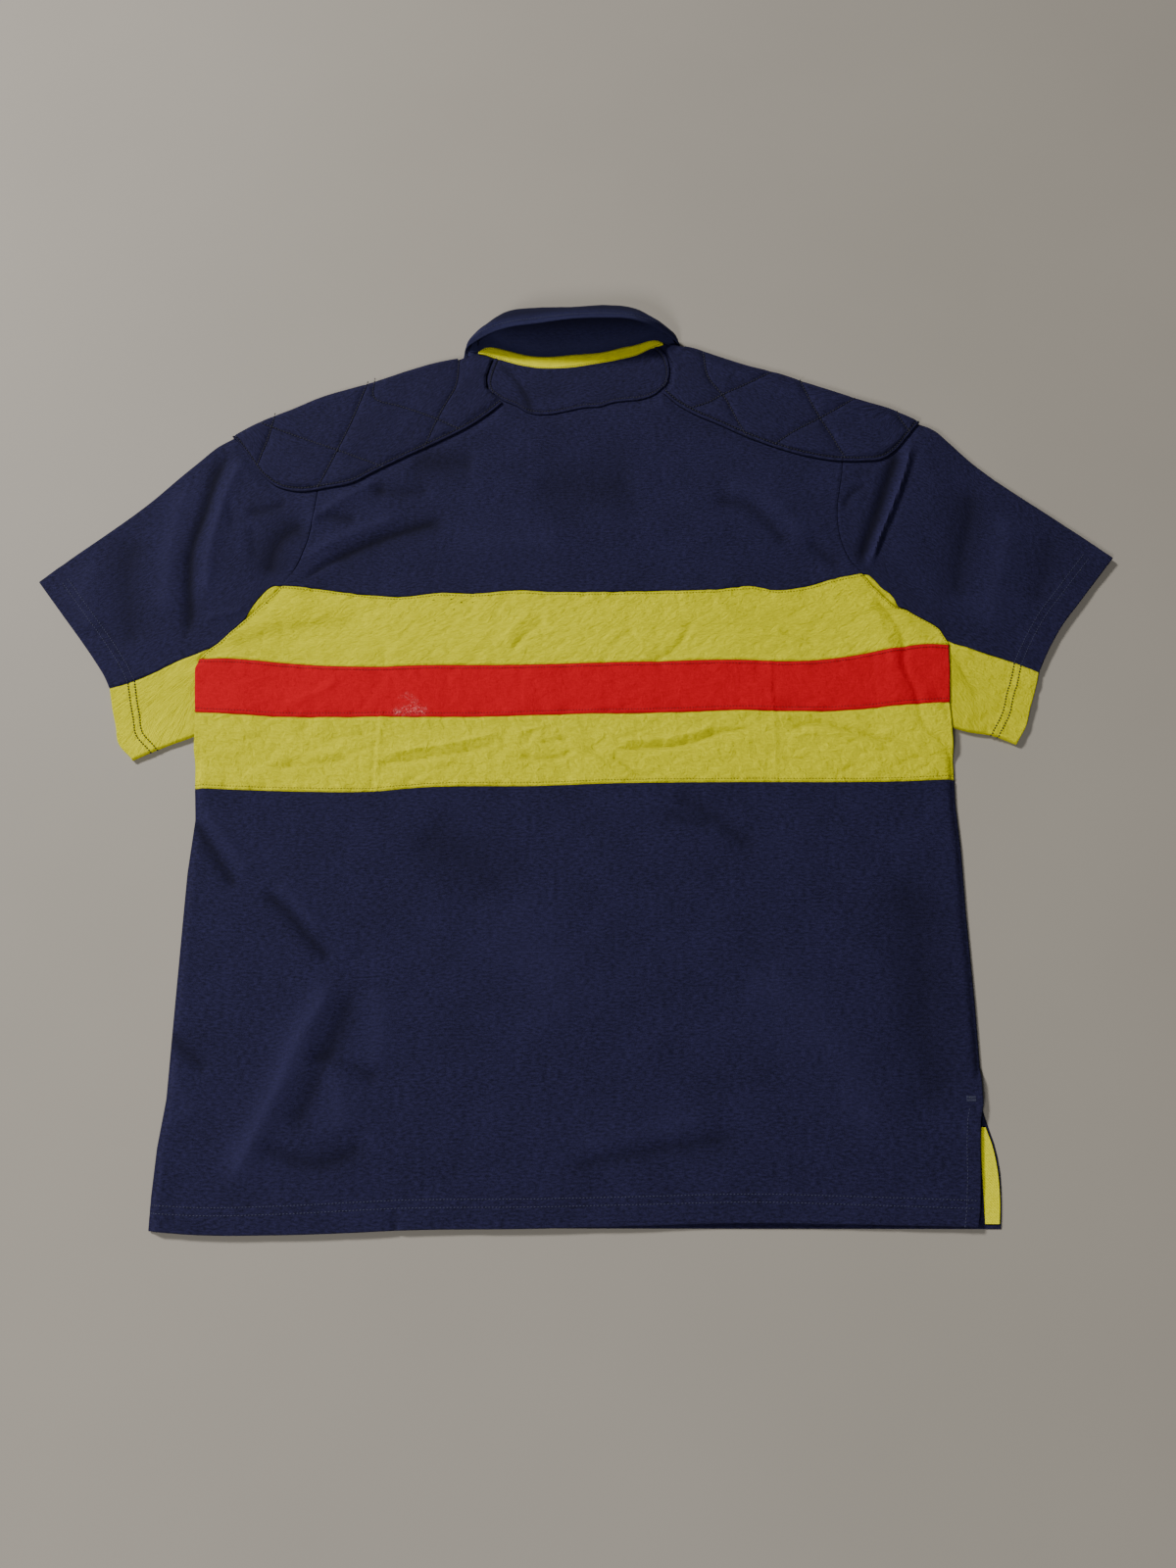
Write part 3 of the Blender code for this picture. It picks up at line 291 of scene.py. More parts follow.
# Folds and creases of the back layer: (x, y) points, half width, height (below 0 a trough)
FOLDS = (
    # left sleeve
    (((-345, 285), (-358, 260), (-368, 210), (-377, 165), (-376, 130), (-371, 90),
      (-375, 65)), 8, -2.3),
    (((-330, 280), (-342, 250), (-352, 205), (-358, 160), (-357, 110)), 10, 1.7),
    (((-388, 250), (-396, 200), (-398, 150), (-394, 90)), 14, 1.3),
    (((-348, 232), (-342, 212), (-336, 188)), 7, -0.8),
    (((-320, 194), (-315, 172), (-312, 152)), 7, -0.8),
    (((-264, 198), (-290, 176), (-298, 136)), 11, -1.7),
    (((-326, 208), (-304, 212), (-284, 219)), 6, -1.3),
    (((-358, 92), (-338, 98), (-316, 104)), 5, 1.3),
    (((-430, 190), (-440, 150), (-432, 100), (-420, 60)), 16, -1.1),
    (((-470, 160), (-478, 120), (-462, 80)), 15, 0.9),
    # left of the back
    (((-256, 202), (-236, 203), (-212, 197)), 7, -1.4),
    (((-268, 129), (-248, 146), (-205, 170), (-155, 190), (-122, 199)), 5, -2.0),
    (((-240, 148), (-205, 168), (-155, 187), (-118, 194)), 12, -1.0),
    (((-268, 152), (-240, 172), (-200, 190), (-165, 204)), 10, 1.5),
    (((-264, 192), (-240, 214), (-195, 246)), 9, 1.7),
    (((-165, 268), (-130, 264), (-95, 262)), 16, -1.3),
    (((-225, 240), (-205, 234), (-185, 232)), 10, -1.1),
    (((-200, 234), (-170, 230), (-140, 233)), 9, -1.1),
    (((-120, 180), (-60, 172), (0, 178)), 22, 0.9),
    (((-40, 240), (20, 232), (70, 240)), 30, -0.9),
    # right of the back and right sleeve
    (((343, 284), (333, 249), (320, 214), (305, 180), (288, 137)), 5, 2.8),
    (((330, 280), (320, 249), (305, 207), (290, 168), (281, 141)), 7, -2.5),
    (((350, 282), (341, 253), (325, 211), (308, 172), (294, 142)), 3.6, -0.9),
    (((283, 244), (293, 247), (303, 249)), 4, -1.0),
    (((270, 206), (280, 224), (294, 232)), 5, -1.2),
    (((138, 218), (180, 208), (196, 190), (217, 163)), 10, -1.3),
    (((150, 232), (190, 222), (214, 198), (236, 170)), 12, 1.1),
    (((233, 170), (248, 156), (262, 143)), 7, -1.1),
    (((400, 235), (392, 190), (378, 140), (372, 100)), 13, -1.3),
    (((430, 205), (424, 160), (408, 110), (402, 70)), 15, 1.2),
    (((470, 180), (462, 140), (446, 100)), 14, -0.9),
    # chest bands
    (((-334, 61), (-280, 80), (-196, 89)), 10, -1.5),
    (((-300, 96), (-260, 104), (-210, 104)), 9, 0.9),
    (((-57, 56), (-42, 74), (-24, 90)), 5, -1.4),
    (((-68, 62), (-54, 80), (-36, 98)), 6, 0.9),
    (((78, 43), (99, 56), (119, 87)), 5, -1.4),
    (((36, 60), (50, 70), (62, 78)), 4.5, -1.1),
    (((198, 76), (218, 70), (237, 61)), 5, -1.2),
    (((150, 98), (190, 92), (232, 96)), 8, -0.8),
    (((290, 118), (297, 106), (310, 85), (318, 60), (316, 40), (325, 10), (330, -22),
      (347, -42), (351, -60)), 5, -1.1),
    (((283, 112), (296, 84), (304, 58), (306, 30)), 8, 0.9),
    (((-180, -50), (-150, -45), (-120, -40), (-60, -27)), 4.5, 1.9),
    (((-185, -58), (-150, -54), (-118, -49), (-62, -38)), 3.6, -1.5),
    (((-178.5, 6), (-178, -30), (-178.5, -60), (-178, -100)), 2.4, 0.6),
    (((-182, 6), (-181.5, -30), (-182, -60), (-181.5, -100)), 2.2, -0.5),
    (((193, 60), (190, 20), (192, -30), (190, -90)), 2.4, 0.45),
    (((196.5, 60), (193.5, 20), (195.5, -30), (193.5, -90)), 2.2, -0.35),
    (((-282, -61), (-240, -57), (-198, -51)), 4, -1.6),
    (((-280, -52), (-240, -49), (-200, -44)), 5, 0.9),
    (((-232, -34), (-210, -30), (-188, -27)), 3.2, -1.3),
    (((-52, -29), (-38, -25), (-23, -21)), 3, 1.2),
    (((-27, -37), (-12, -35), (2, -32)), 3, -1.4),
    (((-47, -50), (-15, -53), (8, -44)), 3.4, -1.9),
    (((-16, -34), (8, -44), (30, -56), (42, -62)), 3.6, 1.7),
    (((38, -49), (54, -60), (72, -74)), 3.4, -1.6),
    (((42, -45), (60, -43), (90, -42), (120, -36), (140, -28), (178, -23)), 3.4, -2.6),
    (((42, -37), (90, -34), (118, -28), (140, -20)), 4.2, 1.7),
    (((198, -27), (235, -19), (260, -25), (300, -38), (324, -45)), 3.6, -2.2),
    (((198, -35), (235, -28), (262, -34), (300, -48)), 4.2, 1.5),
    (((196, -52), (212, -54), (230, -52)), 3.4, -1.2),
    (((-272, 1), (-240, 15), (-218, 26)), 7, 0.8),
    # below the bands
    (((-349, -108), (-325, -140), (-298, -178)), 6, -1.9),
    (((-338, -100), (-312, -134), (-286, -166)), 9, 1.3),
    (((-278, -178), (-255, -193), (-235, -215), (-206, -245)), 6, -1.8),
    (((-266, -172), (-240, -192), (-216, -220)), 9, 1.1),
    (((-192, -240), (-186, -236), (-178, -230)), 3.5, -0.8),
    (((-203, -250), (-215, -280), (-230, -310), (-243, -345), (-258, -380),
      (-284, -436)), 13, 2.6),
    (((-186, -262), (-198, -300), (-214, -345), (-236, -392)), 12, -1.6),
    (((-226, -324), (-190, -330), (-158, -346)), 9, -1.3),
    (((-205, -318), (-196, -350), (-186, -392)), 17, 1.5),
    (((-168, -262), (-160, -300), (-166, -340)), 15, 1.1),
    (((-264, -396), (-205, -412), (-163, -395)), 9, -1.4),
    (((-2, -416), (50, -405), (90, -398), (152, -389)), 9, -1.2),
    (((0, -400), (60, -388), (130, -374)), 13, 0.8),
    (((93, -84), (130, -110), (172, -142)), 10, -1.1),
    (((84, -106), (106, -112), (132, -119)), 6, -0.8),
    (((-348, -303), (-330, -320), (-308, -337)), 8, -1.4),
    (((-349, -330), (-330, -352), (-316, -380)), 12, 1.0),
    (((150, -250), (200, -280), (240, -330), (262, -400)), 26, 1.0),
    (((300, -150), (310, -220), (306, -300), (316, -380)), 24, -1.0),
    (((-80, -180), (-30, -230), (10, -300)), 32, 0.9),
    (((-140, -120), (-90, -150), (-40, -200)), 26, -0.8),
    (((-142, -448), (-141, -456), (-140, -466)), 4, -1.2),
)
# Dark ends of thread left in the upper yellow band, (x, y)
THREAD_ENDS = ((-133, 110), (-116, 111), (-106, 108), (-131, 88), (-113, 100), (-95, 108),
               (-296, 108), (-311, 98), (293, 119))
SCUFF = (((-162, -6), (-150, -3.5), (-139, -5)), ((-160, 10), (-152, 7.5), (-147, 3)),
         ((-155, 14), (-148, 9), (-144, 4)))
BUTTON_ROWS_Y = (290, 247, 204)
BUTTON_RADIUS = 7.0
BUTTON_THICK = 1.8
BUTTON_RIM = 1.6
BUTTON_DISH = (0.6, 0.45)   # width of the slope inside the rim, and its depth
HOLE_RADIUS = 0.85
HOLE_OUT = 1.5         # from the middle of the button, along x and along y
SIDES = (("left", -1), ("right", 1))
# Rows of the grid, of each piece that is folded, which lie on top and can carry stitches
TOP_ROWS = {"sleeve_": 60, "sleeve_under_": 38, "shoulder_pad_": 55}


# ---------------------------------------------------------------- curves and heights

def ramp(value, width):
    """0 below zero, 1 above width, with a soft start and end."""
    t = np.clip(value / width, 0.0, 1.0)
    return t * t * (3 - 2 * t)


def hermite(knots, values, t):
    """Smooth curve through values at knots, read at each t."""
    t = np.atleast_1d(np.asarray(t, float))
    slopes = np.gradient(values, knots, axis=0)
    i = np.clip(np.searchsorted(knots, t) - 1, 0, len(knots) - 2)
    h = (knots[i + 1] - knots[i])[:, None]
    s = (t - knots[i])[:, None] / h
    return ((1 + 2 * s) * (1 - s) ** 2 * values[i] + s * (1 - s) ** 2 * h * slopes[i]
            + s * s * (3 - 2 * s) * values[i + 1] - s * s * (1 - s) * h * slopes[i + 1])


def along(points):
    """Smooth curve through points, read by the fraction of its length."""
    values = np.array(points, float)
    steps = np.linalg.norm(np.diff(values, axis=0), axis=1)
    knots = np.concatenate(([0.0], np.cumsum(steps))) / steps.sum()
    return lambda t: hermite(knots, values, t)


def across(points):
    """Smooth curve through points whose first column rises, read by that column's fraction."""
    values = np.array(points, float)
    knots = (values[:, 0] - values[0, 0]) / (values[-1, 0] - values[0, 0])
    return lambda t: hermite(knots, values, t)


def stepped(points):
    """Straight lines between points, read so that each line takes an equal share."""
    values = np.array(points, float)
    knots = np.linspace(0, 1, len(values))
    return lambda t: np.stack([np.interp(np.atleast_1d(t), knots, column)
                               for column in values.T], axis=1)


def by_rows(column):
    """Smooth curve through one column of the collar table, read by the row's fraction."""
    values = np.array([row[column] for row in COLLAR_ROWS], float)
    knots = np.linspace(0, 1, len(values))
    return lambda t: hermite(knots, values, t)


def side_piece(table, low, high):
    """The part of a (y, x) side table between two heights, as an (x, y) curve."""
    values = np.array(table, float)

    def read(t):
        y = low + (high - low) * np.atleast_1d(t)
        return np.stack((np.interp(y, values[:, 0], values[:, 1]), y), axis=1)
    return read


def patch(low, high, left, right):
    """Surface spanned between four edge curves, as plan points for all of (us, vs)."""
    def read(us, vs):
        u, v = us[:, None, None], vs[None, :, None]
        points = (1 - v) * low(us)[:, None] + v * high(us)[:, None]
        for weight, edge in ((1 - u, left), (u, right)):
            chord = (1 - v) * edge(0.0)[:, None] + v * edge(1.0)[:, None]
            points = points + weight * (edge(vs)[None] - chord)
        return points
    return read


def graded(length, cell, rolls=(True, True)):
    """Fractions of a length, close together at the ends and then a cell apart."""
    fine = np.array((0.0, 0.45, 1.0, 1.7, 2.5, 3.4, 4.5, 6.0, 8.0))
    start = fine if rolls[0] else fine[:1]
    end = length - (fine if rolls[1] else fine[:1])[::-1]
    middle = np.linspace(start[-1], end[0], max(2, round((end[0] - start[-1]) / cell) + 1))
    return np.concatenate((start[:-1], middle, end[1:])) / length


def mirrored(points, sign):
    return tuple((sign * x, y) for x, y in points)


LEFT_SIDE_Y, LEFT_SIDE_X = np.array(LEFT_SIDE, float).T
RIGHT_SIDE_Y, RIGHT_SIDE_X = np.array(RIGHT_SIDE, float).T
TUCK_Y, TUCK_X = np.array(((-60, 345), (-17, 335), (10, 336), (42, 333), (66, 320),
                           (88, 303), (110, 291), (130, 284), (150, 278)), float).T
SHOULDER_X, SHOULDER_Y = np.array((*LEFT_SHOULDER[::-1], *RIGHT_SHOULDER), float).T
PAD_EDGE_X, PAD_EDGE_Y = np.array((*LEFT_PAD_EDGE[::-1], *PATCH_LOW[2:-2], *RIGHT_PAD_EDGE),
                                  float).T


def front_under(x, y):
    """Underside of the front layer: flat below, raised above over the collar and the pads."""
    return LIFT * ramp(y - LIFT_Y[0], LIFT_Y[1]) * ramp(LIFT_X[0] - abs(x), LIFT_X[1])


def tucked(x, y):
    """1 where the body lies over the sleeve, falling to 0 inwards, above and below."""
    inner = np.interp(y, TUCK_Y, TUCK_X)
    low, high = TUCK_Y_ENDS
    return ramp(abs(x) - inner + TUCK_IN, 35) * ramp(y - low, 20) * ramp(high - y, 20)


def air(x, y):
    """Air between the layers: it closes where front and back are sewn together.

    That is along the sides, but not at the open vent or over a sleeve, and along the part of
    each shoulder that lies between the neck and the sleeve.
    """
    inside = np.minimum(x - np.interp(y, LEFT_SIDE_Y, LEFT_SIDE_X),
                        np.interp(y, RIGHT_SIDE_Y, RIGHT_SIDE_X) - x)
    open_vent = ramp(VENT_TOP + 30 - y, 12) * ramp(x, 50)
    low = np.maximum(np.maximum(ramp(inside, SEAM_REACH), open_vent), tucked(x, y))
    below = np.interp(x, SHOULDER_X, SHOULDER_Y) - 4 - y
    high = np.maximum(np.maximum(ramp(below, SEAM_REACH), ramp(abs(x) - 225, 30)),
                      ramp(150 - abs(x), 25))
    return SEAM + (AIR - SEAM) * np.where(y < 100, low, high)


def to_line(x, y, points):
    """Distance of each (x, y) to a smooth line, and the fraction of the line nearest to it."""
    line = along(points)(np.linspace(0, 1, 5 * len(points)))
    best, where = np.full(x.shape, 1e9), np.zeros(x.shape)
    for k, (start, end) in enumerate(zip(line[:-1], line[1:])):
        run = end - start
        t = np.clip(((x - start[0]) * run[0] + (y - start[1]) * run[1]) / (run @ run), 0, 1)
        away = np.hypot(x - start[0] - t * run[0], y - start[1] - t * run[1])
        closer = away < best
        best[closer] = away[closer]
        where[closer] = (k + t[closer]) / (len(line) - 1)
    return best, where


def creases(x, y):
    """Height of all the folds at each (x, y)."""
    height = np.zeros(x.shape)
    for points, half_width, rise in FOLDS:
        low, high = np.min(points, axis=0), np.max(points, axis=0)
        reach = FOLD_REACH * half_width
        near = ((x > low[0] - reach) & (x < high[0] + reach)
                & (y > low[1] - reach) & (y < high[1] + reach))
        if near.any():
            away, where = to_line(x[near], y[near], points)
            ends = ramp(where, FOLD_ENDS) * ramp(1 - where, FOLD_ENDS)
            narrower, lower = next(shape[1:] for shape in FOLD_SHAPES if half_width < shape[0])
            height[near] += (lower * FOLD_RISE * rise * ends
                             * np.exp(-(away / (half_width * narrower)) ** FOLD_POINT))
    return height


def lumps(x, y, wide, tall, seed):
    """Soft random unevenness from -1 to 1, its lumps wide by tall."""
    grid = np.random.RandomState(seed).uniform(-1, 1, (64, 64))
    u, v = (x + 0.23 * y) / wide + 32, (y - 0.17 * x) / tall + 32
    i, j = np.floor(u).astype(int), np.floor(v).astype(int)
    s, t = u - i, v - j
    s, t = s * s * (3 - 2 * s), t * t * (3 - 2 * t)
    near, far = grid[i % 64, j % 64], grid[(i + 1) % 64, j % 64]
    low = near + (far - near) * s
    near, far = grid[i % 64, (j + 1) % 64], grid[(i + 1) % 64, (j + 1) % 64]
    return low + (near + (far - near) * s - low) * t


def layered(x, y, layers):
    """Lumps of several sizes on each other."""
    return sum(share * lumps(x, y, wide, tall, seed) for share, wide, tall, seed in layers)


def unevenness(x, y, crinkle):
    """Small relief of cloth that lies loose; crinkle is 1 for the washed twill bands."""
    wavy = layered(x, y, WAVES)
    aside = 14 * lumps(x, y, 40, 40, 8)
    lines = 1 - np.abs(lumps(x + aside, y - aside, 46, 30, 7))
    wavy = wavy - 0.45 * lines ** 6
    if not crinkle:
        return wavy
    aside = 6 * lumps(x, y, 15, 15, 9)
    lines = 1 - np.abs(lumps(x + aside, y + aside, 30, 13, 10))
    return wavy + crinkle * (layered(x, y, CRINKLES) - 0.9 * lines ** 5)


def calm(x, y):
    """Folds die out under the pads and the neck patch."""
    return ramp(np.interp(x, PAD_EDGE_X, PAD_EDGE_Y) - 1 - y, CALM)


def not_below(height, floor):
    """A height that levels off softly instead of going below a floor."""
    over = height - floor
    soft = LEVELS_OFF * np.exp(np.minimum(over, LEVELS_OFF) / LEVELS_OFF - 1)
    return floor + np.where(over > LEVELS_OFF, over, soft)


def back_under(x, y, crinkle=0.0):
    """Underside of the body's back layer with its folds."""
    gap = air(x, y)
    loose = ramp(gap - SEAM, AIR - SEAM) * calm(x, y)
    folds = creases(x, y) + unevenness(x, y, crinkle)
    return (front_under(x, y) + CLOTH + gap + TUCK * tucked(x, y)
            + loose * (LOFT + not_below(folds, -LOFT - SINKS * gap)))


def sleeve_top(x, y, crinkle=0.0):
    """Outer face of the sleeves with their folds."""
    folds = LOFT + creases(x, y) + unevenness(x, y, crinkle) - 0.5 * tucked(x, y)
    return front_under(x, y) + 2 * CLOTH + AIR + calm(x, y) * not_below(folds, -SINKS * AIR)


def pad_top(x, y):
    """Outer face of the pads, before their filling."""
    return front_under(x, y) + 2 * CLOTH + AIR + LAID_ON + PAD


# ---------------------------------------------------------------- cloth pieces

measures = {}          # each piece's width, length and area, in metres
surfaces = {}          # its outer face, for the stitches on it
outward = {}           # normals of the collar, which turns over
painted_tone_depth = {}            # height of a fold at which each cloth's painted light and shade is full


def arcs(points, axis):
    """Length along a grid's lines, from its start."""
    steps = np.linalg.norm(np.diff(points, axis=axis), axis=2)
    start = np.zeros_like(np.take(steps, [0], axis=axis))
    return np.concatenate((start, np.cumsum(steps, axis=axis)), axis=axis)


def from_edges(points):
    """Distance in from the left, right, low and high edges of a grid of points."""
    u, v = arcs(points, 0), arcs(points, 1)
    return {"left": u, "right": u[-1:] - u, "low": v, "high": v[:, -1:] - v}


def rolled(away, radius=EDGE_ROLL):
    """How far a rounded edge has dropped at a distance in from it."""
    t = 1 - np.clip(away / radius, 0, 1)
    return radius * (1 - np.sqrt(1 - t * t))


def groove(away, at, width, depth):
    """A rounded groove at a distance in from an edge."""
    return -depth * np.exp(-((away - at) / width) ** 2)


def sewn(away, x, y, seed, pucker=PUCKERED[0], depth=PUCKERED[1]):
    """Dip of a seam and the puckers beside it."""
    wave = lumps(x, y, 8.5, 30, seed) + 0.6 * lumps(x, y, 4.5, 30, seed + 1)
    return (groove(away, 0, 1.2, depth) + 0.35 * depth * np.exp(-((away - 2.6) / 1.6) ** 2)
            + pucker * wave * np.exp(-away / 9) * ramp(away, 2.5))


def square(points):
    """Unit normals of a grid, all on one side of it."""
    du, dv = np.gradient(points, axis=0), np.gradient(points, axis=1)
    normals = np.cross(du, dv)
    normals /= np.maximum(np.linalg.norm(normals, axis=2, keepdims=True), 1e-9)
    return normals


def lay(name, top, under, finish, replaces, fold, worn=None):
    """A closed piece of cloth from two grids of points, its outer face first."""
    worn = np.zeros(top.shape[:2]) if worn is None else worn
    if square(top)[:2, :2, 2].mean() < 0:
        top, under, fold, worn = top[::-1], under[::-1], fold[::-1], worn[::-1]
    nu, nv = top.shape[:2]
    bpy.ops.mesh.primitive_grid_add(x_subdivisions=nu - 1, y_subdivisions=nv - 1, size=2.0)
    obj = bpy.context.object
    obj.name = obj.data.name = name + "_cloth"
    mesh = obj.data
    flat = np.empty(len(mesh.vertices) * 3, np.float32)
    mesh.vertices.foreach_get("co", flat)
    flat = flat.reshape(-1, 3)
    i = np.rint((flat[:, 0] + 1) / 2 * (nu - 1)).astype(int)
    j = np.rint((flat[:, 1] + 1) / 2 * (nv - 1)).astype(int)
    mesh.vertices.foreach_set("co", in_place(top)[i, j].astype(np.float32).ravel())
    u, v = arcs(top, 0), arcs(top, 1)
    middle = (nu // 2, nv // 2)
    drawn = np.stack((u + top[0, middle[1], 0], v + top[middle[0], 0, 1]), axis=2) * MM
    corner = np.empty(len(mesh.loops), np.int32)
    mesh.loops.foreach_get("vertex_index", corner)
    mesh.uv_layers[0].data.foreach_set("uv", drawn[i, j][corner].astype(np.float32).ravel())
    # fold carries the painted light and shade of folds, seams and grooves; worn carries the
    # scuffing
    for label, values in (("fold", fold), ("worn", worn)):
        mesh.attributes.new(label, "FLOAT", "POINT").data.foreach_set(
            "value", values[i, j].astype(np.float32))
    wall = obj.modifiers.new("wall", "SOLIDIFY")
    wall.thickness, wall.offset = MM, -1
    bpy.ops.object.modifier_apply(modifier=wall.name)
    both = np.empty(len(mesh.vertices) * 3, np.float32)
    mesh.vertices.foreach_get("co", both)
    both = both.reshape(-1, 3)
    both[len(flat):] = in_place(under)[i, j]
    mesh.vertices.foreach_set("co", both.ravel())
    mesh.update()
    bpy.ops.object.shade_smooth_by_angle(angle=radians(55))
    mesh.materials.append(finish)
    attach(obj, "root")
    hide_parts(*replaces)
    obj.select_set(False)
    areas = np.linalg.norm(np.cross(np.diff(top, axis=0)[:, :-1], np.diff(top, axis=1)[:-1]),
                           axis=2)
    measures[obj.name] = (u[-1].max() * MM, v[:, -1].max() * MM, areas.sum() * MM * MM)
    return obj


def in_place(points):
    """Points of the tables in metres, in the shared frame."""
    out = points * MM
    out[..., 1] += CENTRE_Y * MM
    return out


def painted_fold_tone(x, y, detail, depth):
    """Painted tone, 1 to -1: lighter on ridges (fading and painted light), darker in hollows and
    at edges (painted shade).
    """
    return np.clip(creases(x, y) / depth + np.clip(detail, -1, 0), -1, 1)


def flat_piece(name, finish, us, vs, plan, under, replaces, wall=CLOTH, edges=(), seams=(),
               extra=None, worn=None):
    """A piece laid on a height; edges are rounded, and seams are dipped and puckered."""
    xy = plan(us, vs)
    x, y = xy[..., 0], xy[..., 1]
    base = under(x, y)
    low = np.concatenate((xy, base[..., None]), axis=2)
    away = from_edges(low)
    height = base + wall
    for number, side in enumerate(seams):
        height = height + sewn(away[side], x, y, 20 + 7 * len(name) + number,
                               *(SMOOTH if side in ("left", "right") else PUCKERED))
    if extra is not None:
        height = height + extra(x, y, away)
    for side in edges:
        height = height - rolled(away[side])
    height = np.maximum(height, base + THINNEST)
    top = np.concatenate((xy, height[..., None]), axis=2)
    # The fold attribute: painted light on ridges, painted shade in dips, grooves and rounded edges
    piece = lay(name, top, low, finish, replaces,
                painted_fold_tone(x, y, height - base - wall, painted_tone_depth[finish.name]),
                None if worn is None else worn(x, y))
    surfaces[name] = top
    return piece


def folded_piece(name, finish, us, rows, shape, replaces, detail, wall):
    """A piece that runs over a fold: rows 0-1 on top, 1-2 round the fold, 2-3 underneath."""
    fold, radius = shape["fold"], shape["radius"]

    def sideways(u):
        run = fold(np.minimum(1.0, u + 0.004)) - fold(np.maximum(0.0, u - 0.004))
        return (shape["side"] * np.stack((-run[:, 1], run[:, 0]), axis=1)
                / np.linalg.norm(run, axis=1, keepdims=True))

    def inset(u):
        return fold(u) - radius * sideways(u)
    over = patch(shape["top_edge"], inset, shape["top_start"], shape["top_end"])
    below = patch(inset, shape["low_edge"], shape["low_start"], shape["low_end"])
    upper, turn, lower = rows[rows <= 1], rows[(rows > 1) & (rows < 2)], rows[rows >= 2]
    xy = over(us, upper)
    x, y = xy[..., 0], xy[..., 1]
    top = np.concatenate((xy, shape["top"](x, y)[..., None]), axis=2)
    top_in = top.copy()
    top_in[..., 2] -= wall
    change = detail(x, y, from_edges(top))
    # Painted light and shade of the folds and grooves on the top face
    relief = painted_fold_tone(x, y, change, painted_tone_depth[finish.name])
    top[..., 2] = np.maximum(top[..., 2] + change, top_in[..., 2] + THINNEST)
    xy = below(us, lower - 2)
    x, y = xy[..., 0], xy[..., 1]
    down = np.concatenate((xy, shape["under"](x, y)[..., None]), axis=2)
    down_in = down.copy()
    down_in[..., 2] += wall
    start, out = inset(us)[:, None], sideways(us)[:, None]
    angle = (pi / 2 - pi * (turn - 1))[None, :, None]
    edge_top, edge_low = top[:, -1:, 2:], down[:, :1, 2:]

    def round_fold(reach, high, low):
        return np.concatenate((start + reach * np.cos(angle) * out,
                               (low + high) / 2 + (high - low) / 2 * np.sin(angle)), axis=2)
    outer = np.concatenate((top, round_fold(radius, edge_top, edge_low), down), axis=1)
    inner = np.concatenate((top_in, round_fold(radius - wall, edge_top - wall, edge_low + wall),
                            down_in), axis=1)
    # Only the top face carries painted light and shade
    painted_tone = np.zeros(outer.shape[:2])
    painted_tone[:, :len(upper)] = relief
    piece = lay(name, outer, inner, finish, replaces, painted_tone)
    surfaces[name] = outer
    return piece


# ---------------------------------------------------------------- finishes

def feed(tree, node, inputs):
    """Link a node's inputs to other nodes' outputs, or set their values."""
    for key, value in inputs.items():
        if isinstance(value, bpy.types.NodeSocket):
            tree.links.new(value, node.inputs[key])
        else:
            node.inputs[key].default_value = value


def add(tree, kind, inputs=None, **settings):
    made = tree.nodes.new(kind)
    for key, value in settings.items():
        setattr(made, key, value)
    feed(tree, made, inputs or {})
    return made


def maths(tree, operation, *values):
    return add(tree, "ShaderNodeMath", dict(enumerate(values)), operation=operation).outputs[0]


def mixed(tree, factor, first, second):
    return add(tree, "ShaderNodeMix", {0: factor, 6: first, 7: second},
               data_type="RGBA").outputs[2]


CLOTH_SETTINGS = ("Ribs", "Slope", "Fibres", "Mottle", "Crumple")


